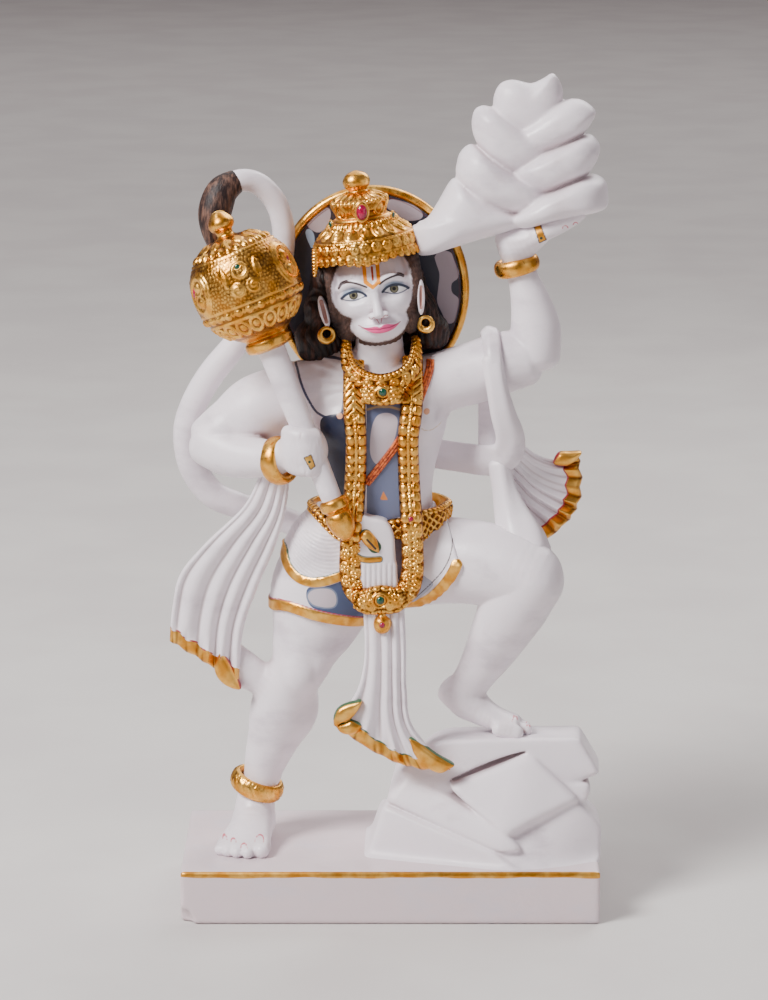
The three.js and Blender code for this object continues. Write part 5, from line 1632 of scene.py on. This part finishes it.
def make_ears():
    """Ears with a hollow bowl, darker inside."""
    for name, (s, y, t, *half, lean) in zip(("left_ear", "right_ear"), EARS):
        ear = Field((s - 7, y - 9, t - 15), (s + 7, y + 8, t + 15), 0.5)
        bowl = lump(s, y - 6, t + 1, 0.5 * half[0], 3.4, 0.78 * half[2], lean)
        ear.join([lump(s, y, t, *half, lean)]).carve([bowl], 1)
        points, quads = ear.surface(1)
        reach = 0.62 * half[2] * math.tan(math.radians(lean))
        bowl_line = [(s - reach, t - 7), (s + reach, t + 8)]
        inner = to_line(points[:, 0], points[:, 2], bowl_line) - 0.42 * half[0]
        marks = {"hollow": ear.hollowness(points, quads, 2), "inner": np.maximum(inner, points[:, 1] - y)}
        paint = marble(name + "_marble", [("inner", colour(160, 118, 110))])
        add_piece(name, head_places(points), quads, paint, marks)


def make_hair():
    """Masses of hair behind and beside the head, combed into locks."""
    hair = Field((-76, -24, 352), (54, 42, 440), 1.0)
    for row in HAIR:
        hair.join([lump(*row)], 4)
    points, quads = hair.surface()
    out = normals_of(points, quads)
    side = points[:, 0] + 4.5 * np.sin(points[:, 2] / 6.5 + points[:, 1] / 9) + 0.6 * points[:, 1]
    locks = np.abs(np.cos(0.6 * side)) + 0.35 * np.abs(np.cos(1.5 * side + 1)) - 0.8
    points = points + out * (1.4 * locks)[:, None]
    paint = painted_hair("hair_paint", HAIR_BLACK, colour(80, 50, 40))
    add_piece("hair", points, quads, paint, {"hollow": hair.hollowness(points, quads)})


def painted_hair(name, dark, light):
    """Uneven brown paint with a fine surface."""
    s = Shading(name)
    base = s.mix(s.ramp(s.noise(5, 4, 0.6, (1.6, 1, 0.4)), 0.4, 0.75), dark, light)
    strands = s.bump(s.noise(2, 3, 0.5, (2, 2, 0.4)), 0.4)
    return s.finish(Base_Color=base, Roughness=0.5, Specular_IOR_Level=0.3, Normal=strands)


def deepness(lift, full):
    """Share of painted shade in a hollow between motifs that stand a full height proud."""
    return np.clip(1 - lift / full, 0, 1)


def crown_relief(along, angle, radius):
    """Rows of beads, ropes and leaves round the crown."""
    u = angle * radius
    band = lambda row, count, size: bead(around(angle, count, radius), along - row, size)
    rim = highest(2.0 * band(7.4, 36, 3), 1.0 * rope(u, along - 11, 0.9, 3))
    rosettes = 1.8 * rosette(around(angle, 28, radius), along - 15.6, 3.7, 6)
    upper = highest(1.1 * rope(u, along - 20, 0.9, 3), 0.5 * band(18.4, 28, 1.5))
    leaves = highest(1.7 * spiral(around(angle, 18, radius), along - 25.6, 4.2), 1.4 * band(30, 40, 1.8))
    step = highest(1.3 * band(31, 40, 1.8), 0.8 * ridge(along - 34.2, 0.8))
    across = around(angle, 7, radius)
    petals = highest(1.4 * frame_line(across, along - 40.4, 5.2, 5.2, 1.1),
                     1.6 * bead(across, along - 40.2, 3))
    dots = 1.2 * band(40.4, 70, 0.9) * (np.abs(np.abs(across) - 7.6) < 1.6)
    top = highest(1.3 * band(46, 36, 1.7),
                  1.1 * leaf_shape(around(angle, 16, radius), along - 49.8, 2, 2.4))
    return highest(rim, rosettes, upper, leaves, step, petals, dots, top)


def crown_drop(angle):
    """How far the rim hangs down: a soft point over the forehead, higher beside it."""
    return 1.6 * np.exp(-(angle / 0.28) ** 2) - 1.4 * np.exp(-((np.abs(angle) - 0.62) / 0.25) ** 2)


def make_crown(leaf):
    """Tiered crown with its beaded edge, its lappet and its stones; its back ends inside the halo."""
    axis = unit((-math.sin(CROWN_LEAN), 0, math.cos(CROWN_LEAN)))
    sides = 300
    loops, lift = turned(CROWN_FOOT, axis, CROWN_PROFILE, sides, 0.8, CROWN_DEPTH_SHARE, crown_relief)
    angle = np.linspace(-math.pi, math.pi, sides, endpoint=False)
    low = np.clip(1 - ((loops - CROWN_FOOT) @ axis - 4.5) / 8, 0, 1)
    loops = loops - (crown_drop(angle) * low)[..., None] * axis
    loops[..., 1] = np.minimum(loops[..., 1], HALO_MIDDLE[1])
    carved = (loops - CROWN_FOOT) @ axis < 52
    # Painted shade between the crown's motifs, on its carved part only
    add_loft("crown", loops, leaf, hollow=0.75 * deepness(lift, 0.9) * carved)
    rows = [(-53 - 0.2 * k, -13 - 0.4 * k, 445 - 3.6 * k, 2.9 - 0.12 * k * k / 2, 1.6) for k in range(6)]
    add_loft("crown_lappet", tube(rows, 24, 44, swell=lambda along, _: 1 + 0.14 * np.cos(50 * along)), leaf)
    for name, place, half, tint in CROWN_GEMS:
        out = np.array(place) - (CROWN_FOOT + 36 * axis)
        gem(name, np.array(place), half, out * (1, 1, 0.2), tint, leaf)


def mace_relief(along, angle, radius):
    """Beads, medallions, scrolls and arches round the head of the mace."""
    u = angle * radius
    band = lambda row, count, size: bead(around(angle, count, radius), along - row, size)
    cap = highest(1.2 * leaf_shape(around(angle, 14, radius), along + 34.5, 4, 2.6),
                  1.7 * band(-30, 26, 2.4), 0.9 * rope(u, along + 26.4, 0.9, 3))
    shift = -5 / 360
    a, b = around(angle, 3, radius, shift), along + 7
    scrolls = highest(1.8 * spiral(a - 6, b - 6, 5.6, 1), 1.8 * spiral(-a - 6, b - 6, 5.6, 1),
                      1.5 * frame_line(a, b + 7, 5, 4.6, 1.2), 1.3 * leaf_shape(a - 12.5, b + 5, 2.6, 8),
                      1.3 * leaf_shape(a + 12.5, b + 5, 2.6, 8), 1.2 * rosette(a, b + 14.5, 3.4, 6))
    a = around(angle, 3, radius, shift + 1 / 6)
    medallion = highest(1.7 * frame_line(a, b, 9.6, 12.5, 1.5), frame_line(a, b, 12.2, 15, 0.9))
    for off in (-5.6, 5.6):
        flower = highest(1.9 * bead(a, b + off, 3.8), 0.9 * frame_line(a, b + off, 5.6, 5.4, 0.8))
        medallion = highest(medallion, flower)
    uneven = filling(u + 0.5 * np.sin(0.9 * along), along + 0.5 * np.sin(0.7 * u))
    grains = np.where((along > -25) & (along < 9), uneven, 0)
    ring = highest(2.1 * band(13.6, 26, 2.9),
                   1.2 * bead(around(angle, 26, radius, 0.5 / 26), along - 13.6, 1.6),
                   1.1 * ridge(along - 18.6, 0.9), 0.8 * ridge(along - 9.4, 0.7))
    a, b = around(angle, 18, radius), along - 25
    arches = highest(1.4 * frame_line(a, b, 4.1, 5.2, 1), 1.5 * bead(a, b, 2.4))
    lobes = 0.9 * np.abs(np.cos(1.5 * angle)) * (along < -44)
    plain = (along > -39) & (along < 35.5)
    return np.where(plain, highest(cap, scrolls, medallion, grains, ring, arches), lobes)


def make_mace(leaf, white):
    """Round head in gold leaf, marble shaft and gold foot."""
    loops, lift = turned(MACE_MIDDLE, MACE_AXIS, MACE_HEAD_PROFILE, 280, 0.85, 1, mace_relief)
    height = (loops - MACE_MIDDLE) @ unit(MACE_AXIS)
    carved = (height > -38) & (height < 34)
    # Painted shade between the mace head's motifs, on its carved part only
    add_loft("mace_head", loops, leaf, hollow=np.where(carved, 0.8 * deepness(lift, 1.0), 0))
    add_loft("mace_shaft", turned(MACE_MIDDLE, MACE_AXIS, SHAFT_PROFILE, 64, 2)[0], white)
    add_loft("mace_foot", turned(MACE_MIDDLE, MACE_AXIS, SHAFT_CAP_PROFILE, 72, 0.8)[0], leaf)
    for name, (x, z), half, tint in MACE_GEMS:
        off = np.array([x, z]) - MACE_MIDDLE[[0, 2]]
        y = MACE_MIDDLE[1] - math.sqrt(max(MACE_RADIUS ** 2 - off @ off, 9)) - 0.6
        out = unit(np.array([x, y, z]) - MACE_MIDDLE)
        gem(name, np.array([x, y, z]), half, out, tint, leaf)


def gem(name, place, half, out, tint, leaf):
    """Polished stone of given half width and half height in a narrow gold setting."""
    out = unit(out)
    right = unit(np.cross((0, 0, 1), -out))
    up = np.cross(-out, right)
    turn = np.linspace(0, 2 * math.pi, 28, endpoint=False)
    edge = np.cos(turn)[:, None] * right * half[0] + np.sin(turn)[:, None] * up * half[1]
    heights = np.sin(np.linspace(-0.3, 1, 8) * math.pi / 2)
    loops = []
    for h in heights:
        loops.append(place + edge * math.sqrt(1 - 0.98 * h * h) + out * h * 0.75 * min(half))
    add_loft(name, loops, glass(name + "_glass", tint))
    around_edge = np.linspace(0, 2 * math.pi, 10, endpoint=False)[None, :, None]
    setting = 0.22 * min(half) + 0.25
    wider = 1 + (0.2 + setting * np.cos(around_edge)) / min(half)
    rim = place + edge[:, None] * wider + out * setting * np.sin(around_edge)
    add_loft(name + "_setting", rim, leaf, closed=True)


def front_gem(name, leaf):
    """Round stone that faces the viewer."""
    place, radius, tint = FRONT_GEMS[name]
    gem(name, np.array(place), (radius, radius), (0, -1, 0), tint, leaf)


def glass(name, tint):
    """Polished stone, darker in places."""
    s = Shading(name)
    dark = tuple(0.45 * value for value in tint[:3]) + (1,)
    depth = s.mix(s.ramp(s.noise(1.5, 2), 0.35, 0.7), tint, dark)
    return s.finish(Base_Color=depth, Roughness=0.08, Coat_Weight=0.5, Coat_Roughness=0.05)


def add_loft(name, loops, material, closed=False, **marks):
    """Piece through loops of points, with its marks given loop by loop."""
    points, faces = loft(loops, closed)
    values = {"hollow": np.zeros(len(points))}
    for mark, grid in marks.items():
        values[mark] = np.concatenate([grid.ravel(), [] if closed else [grid[0].mean(), grid[-1].mean()]])
    add_piece(name, points, faces, material, values)


def halo_marks(loops, from_rim):
    """Distances to the edges of the paint on the halo's front."""
    x, y, z = np.moveaxis(loops, -1, 0)
    back = 9 * (y > HALO_MIDDLE[1])
    panels = [to_line(x, z, closed_curve(corners), True) for corners in HALO_PANELS]
    return {
        "navy": back - 1.0, "panel": least(panels) + back,
        "streak": to_line(x, z, closed_curve(HALO_STREAK), True) + back,
        "red": np.abs(from_rim + 0 * x - 4.3) - 0.7 + back,
    }


def make_halo(leaf):
    """Disc with dark paint, pale panels and a red line, inside a gold rim."""
    sides = 220
    angle = np.linspace(0, 2 * math.pi, sides, endpoint=False)
    rings = [(0.02, HALO_FACE), *((share, HALO_FACE) for share in np.linspace(0.1, 1, 34)),
             *((share, -HALO_FACE) for share in np.linspace(1, 0.1, 12)), (0.02, -HALO_FACE)]
    half = np.array(HALO_HALF) - HALO_RIM
    loops = np.array([
        HALO_MIDDLE + np.stack([share * half[0] * np.cos(angle), np.full(sides, -face),
                                share * half[1] * np.sin(angle)], axis=1)
        for share, face in rings
    ])
    from_rim = (1 - np.array([share for share, _ in rings]))[:, None] * half[0]
    add_loft("halo_disc", loops, marble("halo_paint", HALO_PAINT), **halo_marks(loops, from_rim))
    turn = np.linspace(0, 2 * math.pi, 200, endpoint=False)[:, None]
    section = np.linspace(0, 2 * math.pi, 20, endpoint=False)
    out = HALO_RIM * np.cos(section)
    rim = np.stack([(half[0] + out) * np.cos(turn), -0.5 * HALO_THICKNESS * np.sin(section) + 0 * turn,
                    (half[1] + out) * np.sin(turn)], axis=-1)
    add_loft("halo_rim", HALO_MIDDLE + rim, leaf, closed=True)


def body_front(x, z):
    """Front of the torso at a height, halfway between its middle and its side."""
    rows = curve(TORSO, 100)
    columns = [np.interp(z, rows[:, 2], rows[:, i]) for i in (0, 1, 3, 4)]
    middle_x, middle_y, half_width, half_depth = columns
    side = np.minimum(np.abs(x - middle_x) / half_width, 0.95)
    return middle_y - half_depth * np.sqrt(1 - side * side)


def garland_relief(length, across, half):
    """Leaves at the top, then two columns of square beads, then rosettes and leaves round the loop."""
    place = np.abs(length - GARLAND_LENGTH / 2)
    leaves_end, loop = GARLAND_LENGTH / 2 - 40, 62
    slant = repeat(length - 0.9 * np.abs(across), 5.4)
    top = highest(1.9 * leaf_shape(slant, np.abs(across) - 3.6, 2.3, 4.6), 1.2 * ridge(across, 1.1),
                  1.2 * bead(repeat(length, 3.2), np.abs(across) - half + 1.1, 1.4))
    squares = 2.3 * pad(repeat(length, 7.2), np.abs(across) - 4.5, 3.3, 3)
    beads = highest(squares, 1.5 * rope(length, across, 1.2, 2.4))
    first, second = repeat(length, 9.5), repeat(length, 9.5, 0.5)
    low = highest(2.2 * rosette(first, across + 4, 4.2, 7), 2.2 * rosette(second, across - 4, 4.2, 7),
                  1.5 * bead(first, across - 1.4, 1.7), 1.5 * bead(second, across + 1.4, 1.7),
                  filling(length, across))
    return np.where(place > leaves_end, top, np.where(place > loop, beads, low))


def clasp_relief(length, across, half):
    """Two fan-shaped leaves either side of the stone at the garland's lowest point."""
    u = length - CLASP_LENGTH / 2
    rings = highest(1.8 * frame_line(u, across, 5.2, 5.2, 0.9),
                    1.8 * rosette(np.abs(u) - 10.5, across, 5.6, 9))
    edge = 1.5 * bead(repeat(length, 4.2), np.abs(across) - half + 1.6, 1.9)
    curls = 1.2 * spiral(np.abs(u) - 7, np.abs(across) - 4.6, 2.6)
    return highest(rings, edge, curls, filling(length, across))


def collar_relief(length, across, half):
    """Bead row by the neck, a raised line, scrolls, and a leafy outer edge."""
    inner = 1.4 * bead(repeat(length, 3.6), across - half + 1.7, 1.8)
    line = 1.2 * ridge(across - half + 4.2, 0.8)
    scroll = 1.6 * spiral(repeat(length, 9), across + 0.12 * half, 4, 1)
    edge = 1.6 * leaf_shape(repeat(length - 0.5 * across, 4.6), across + half - 2.6, 2, 3)
    return highest(inner, line, scroll * (half > 6), edge)


def belt_relief(length, across, half):
    """Bead rows along both edges with crossed bands and a rosette between them."""
    edge = 1.3 * bead(repeat(length, 3.8), np.abs(across) - half + 1.6, 1.8)
    net = highest(ridge(repeat(length + across, 6), 0.8), ridge(repeat(length - across, 6), 0.8))
    inner = np.clip(half - 3.4 - np.abs(across), 0, 1)
    return highest(edge, 1.2 * net * inner, 1.3 * bead(repeat(length, 6), repeat(across, 6), 1.5) * inner)


def make_belt(cloth, leaf):
    """Belt round the waist, laid on the cloth in front."""
    front = [(x, cloth.front(x, min(z, 247)) - 0.6, z, half) for x, z, half in BELT_FRONT]
    rows = BELT_BACK + front + BELT_RIGHT
    away = curve([(x + 7, y + 1, 0) for x, y, _, _ in rows], 460)
    add_strip("belt", rows, 460, 28, belt_relief, 3.6, leaf, bulge=1, outs=unit(away))


def knot_front(x, z):
    """Depth of the knot's round front."""
    return -42.5 - 3.6 * np.sqrt(np.clip(1 - ((x + 13) / 19) ** 2, 0, 1))


def make_knot():
    """Knotted cloth at the waist with its gold line and fine pleats, and its bud."""
    field = Field((-36, -54, 200), (10, -22, 262), 0.5).join([plate(KNOT, knot_front, -26, 3)])
    points, quads = field.surface(1)
    normals = normals_of(points, quads)
    x, _, z = points.T
    line = stroke(x, z, KNOT_LINE, 1.9)
    bud = to_line(x, z, [(row[0], row[2]) for row in BUD[:3]]) - 4.6
    pleats = np.abs(np.cos(math.pi * x / 3.8)) * np.clip((224 - z) / 3, 0, 1)
    marks = {
        "leaf": line, "hollow": field.hollowness(points, quads, 3), "line_edge": np.abs(line - 0.3) - 0.35,
        "bud_edge": np.maximum(bud, normals[:, 1]),
    }
    points = points + normals * (0.7 * pleats + 0.8 * np.clip(0.5 - line, 0, 1))[:, None]
    add_piece("waist_knot", points, quads, marble("knot_paint", KNOT_PAINT, leaf="leaf"), marks)
    make_knot_bud()


def make_knot_bud():
    """Gold bud on the knot, with a dark painted line that stands for the shade in its slot, which is not
    carved.
    """
    field = Field((-26, -56, 226), (-4, -38, 252), 0.4).join(limb(BUD, dome=0.9), 0)
    points, quads = field.surface(1)
    # Painted shade: a dark stroke where the bud's slot would be.
    slot = stroke(points[:, 0], points[:, 2], BUD_SLOT, 0.8)
    paint = marble("bud_leaf", [("slot", colour(46, 26, 16))], leaf="leaf")
    marks = {"leaf": np.full(len(points), -2.0), "hollow": np.zeros(len(points)), "slot": slot}
    add_piece("knot_bud", points, quads, paint, marks)


def make_ornaments(leaf):
    """Garland, collar, bangles and earrings."""
    rows = [(x, min(body_front(x, z) - 5, -42 if z < 262 else 0), z, half) for x, z, half in GARLAND_ROWS]
    add_strip("garland", rows, 620, 26, garland_relief, 4, leaf, bulge=1.5)
    add_strip("garland_clasp", CLASP_ROWS, 70, 30, clasp_relief, 4.5, leaf, bulge=1.5)
    front_gem("garland_green_gem", leaf)
    front_gem("garland_red_gem", leaf)
    loops, _ = turned(PENDANT_PLACE, (0, 0, 1), PENDANT_PROFILE, 48, 0.7)
    add_loft("garland_pendant", loops, leaf)
    front_gem("pendant_red_gem", leaf)
    add_strip("collar", COLLAR_ROWS, 220, 30, collar_relief, 3, leaf, bulge=1.2)
    add_strip("collar_block", COLLAR_BLOCK, 50, 40, block_relief, 3.6, leaf)
    front_gem("collar_green_gem", leaf)
    carved = lambda u, v: 0.7 * highest(leaf_shape(repeat(u + 0.5 * v, 5.8), v, 2.4, 5), filling(u, v))
    add_loft("wrist_bangle", hoop(*BANGLES[0]), leaf, closed=True)
    add_loft("raised_bangle", hoop(*BANGLES[1]), leaf, closed=True)
    add_loft("anklet", hoop(*BANGLES[2], relief=carved, steps=320, sides=48), leaf, closed=True)
    for name, ring in zip(("left_earring", "right_earring"), EARRINGS):
        add_loft(name, hoop(*ring, heavy=0.3), leaf, closed=True)


def block_relief(length, across, half):
    """Framed rosettes between two bead rows."""
    u = length - 14
    edge = 1.3 * bead(repeat(length, 4.4), np.abs(across) - half + 1.9, 2)
    return highest(1.6 * frame_line(u, across, 5, 5, 1), 1.7 * rosette(np.abs(u) - 9, across, 4.6, 6), edge,
                   filling(length, across))


def make_cloths(white):
    """Sashes and shawl with their turned-over corners, and the tail."""
    cloth_piece("left_sash", LEFT_SASH, LINE_RED)
    flap_piece("left_sash_flap", LEFT_SASH_FLAP, LINE_RED)
    cloth_piece("centre_sash", CENTRE_SASH, LINE_GREEN)
    for index, flap in enumerate(CENTRE_SASH_FLAPS):
        flap_piece(f"centre_sash_flap_{index}", flap, LINE_GREEN)
    cloth_piece("shawl_fan", SHAWL_FAN, LINE_RED)
    flap_piece("shawl_fan_flap", SHAWL_FAN_FLAP, LINE_RED)
    soft = {"sides": 48, "swell": lambda along, angle: 1 + 0.045 * np.cos(5 * angle + 5 * along)}
    add_loft("shawl_band", tube(SHAWL_BAND, **soft), white)
    add_loft("shawl_over_arm", tube(SHAWL_OVER_ARM, deep_way=(1, 0, 0), **soft), white)
    add_loft("shawl_fold", tube(SHAWL_FOLD, **soft), white)
    tail = [(*place, size * TAIL_RADIUS, size * TAIL_RADIUS) for *place, size in TAIL]
    add_loft("tail", tube(tail), white)
    add_loft("tail_tuft", tube(TUFT, 40), painted_hair("tuft_fur", FUR_DARK, colour(120, 88, 74)))


def loincloth_field():
    """Body from waist to thigh, a little thicker, cut to the cloth's outline in the picture."""
    field = Field((-98, -48, 162), (60, 46, 268), 0.85)
    field.join(limb(TORSO, dome=0.3)).join(lumps(BELLY), 12)
    field.join(limb(STANDING_LEG), 6).join(limb(RAISED_THIGH), 7).join([lump(*HIP_LUMP)], 8)
    _, (px, _, pz) = field.window(field.low, field.low + FAR)
    outside = to_line(*np.broadcast_arrays(px[:, 0], pz[:, 0]), LOINCLOTH, True)[:, None]
    field.values = -smooth_min(-(field.values - 1.9), -outside, 1.5).astype(np.float32)
    return field


def make_loincloth():
    """Cloth round hips and thigh, pleated on the standing leg, with gold ribbons and painted patches."""
    field = loincloth_field()
    points, quads = field.surface()
    normals = normals_of(points, quads)
    x, _, z = points.T
    thigh = stroke(x, z, THIGH_RIBBON, 3.3) + 9 * (x > -33)
    band = to_line(x, z, curve(LEG_BAND, 40)) - 3.7 + 9 * (x > -13)
    hip = stroke(x, z, HIP_RIBBON, 3.8)
    in_back = 9 * (normals[:, 1] > 0.25)
    behind = np.maximum(to_line(x, z, LOINCLOTH[7:]) - 4, -5 * normals[:, 1])
    leaf = least([thigh + in_back, band, hip + in_back, behind])
    thigh_middle = np.interp(x, *np.array(THIGH_RIBBON).T)
    above = (z > thigh_middle + 3.5) & (x < -26)
    sag = z - 0.02 * (x + 44) ** 2
    pleats = np.abs(np.cos(math.pi * sag / 2.9)) * above
    folds = 0.35 * np.sin(0.62 * (x + z) + 2 * np.sin(0.2 * x)) * (hip < 0)
    inside = lambda corners: in_front(to_line(x, z, closed_curve(corners), True), normals)
    # The hollow mark paints shade in the cloth's hollow places and between its pleats.
    marks = {
        "leaf": leaf, "hollow": np.maximum(field.hollowness(points, quads, 4), 0.45 * above * (1 - pleats)),
        "green_line": np.abs(thigh - 0.3) - 0.4 + in_back + 9 * (z < thigh_middle),
        "red_line": np.abs(band - 0.3) - 0.4 + 9 * (z < np.interp(x, *np.array(LEG_BAND).T)),
        "navy": np.maximum(inside(LEG_NAVY), 0.3 - leaf), "panel": inside(LEG_PANEL),
        "hip_shade": inside(HIP_SHADE), "hip_line": in_front(stroke(x, z, HIP_LINE, 0.4), normals),
        "front_shade": inside(FRONT_SHADE),
    }
    marks["panel_edge"] = np.abs(marks["panel"]) - 0.6
    points = points + normals * (0.75 * pleats + (1.3 + folds) * np.clip(0.5 - leaf, 0, 1))[:, None]
    cloth = marble("loincloth_paint", LOINCLOTH_PAINT, leaf="leaf")
    add_piece("loincloth", points, quads, cloth, marks)
    return field


def make_rocks(white):
    """Mountain on the raised palm and rock under the raised foot."""
    mountain = Field((10, -36, 434), (160, 36, 574), 1.2)
    for shape in MOUNTAIN:
        mountain.join([boulder(*shape)], MOUNTAIN_CREASE)
    rock = Field((-22, -75, -3), (162, 40, 96), 1.25)
    for corners in ROCK:
        rock.join([block(corners, ROCK_EDGE)], ROCK_CREASE)
    rock.join([block(ROCK_FOOT, 0.5)], 9)
    rock.carve(limb(ROCK_CREVICE, (0, 1, 0)), 1)
    for name, field in (("mountain", mountain), ("rock", rock)):
        # Painted shade in the creases of both, by the hollow mark
        points, quads = field.surface()
        add_piece(name, points, quads, white, {"hollow": 0.7 * field.hollowness(points, quads)})


def make_plinth():
    """Plinth with a chipped corner and an uneven gold line along its upper front edge."""
    half_x, half_y, height = PLINTH[0] / 2, PLINTH[1] / 2, PLINTH[2]
    corners = [(x, y, z) for x in (-half_x, half_x) for y in (-half_y, half_y) for z in (-height, 0)]
    field = Field((-half_x - 3, -half_y - 3, -height - 3), (half_x + 3, half_y + 3, 3), 1.5)
    field.join([block(corners, PLINTH_EDGE)]).carve([lump(*PLINTH_CHIP)], 1)
    points, quads = field.surface(1)
    x, y, z = points.T
    wave = 0.35 * np.sin(x / 14) + 0.25 * np.sin(x / 5 + 1)
    middle, reach = PLINTH_LINE
    line = np.maximum(np.abs(z - middle - wave) - reach, y + half_y - 2)
    # The plinth's marble is darker and mauver than the figure's, partly its own tone and partly painted
    # shade.
    stone = marble("plinth_paint", leaf="leaf", stone=PLINTH_TONE_AND_SHADE)
    add_piece("plinth", points, quads, stone, {"leaf": line, "hollow": np.zeros(len(points))})


make_camera()
make_floor()
make_lights()
white = marble("marble_plain")
leaf = gold("gold_leaf")
make_body()
make_hands()
make_face()
make_ears()
make_hair()
make_crown(leaf)
make_mace(leaf, white)
make_halo(leaf)
make_ornaments(leaf)
make_cloths(white)
cloth_field = make_loincloth()
make_belt(cloth_field, leaf)
make_knot()
make_rocks(white)
make_plinth()
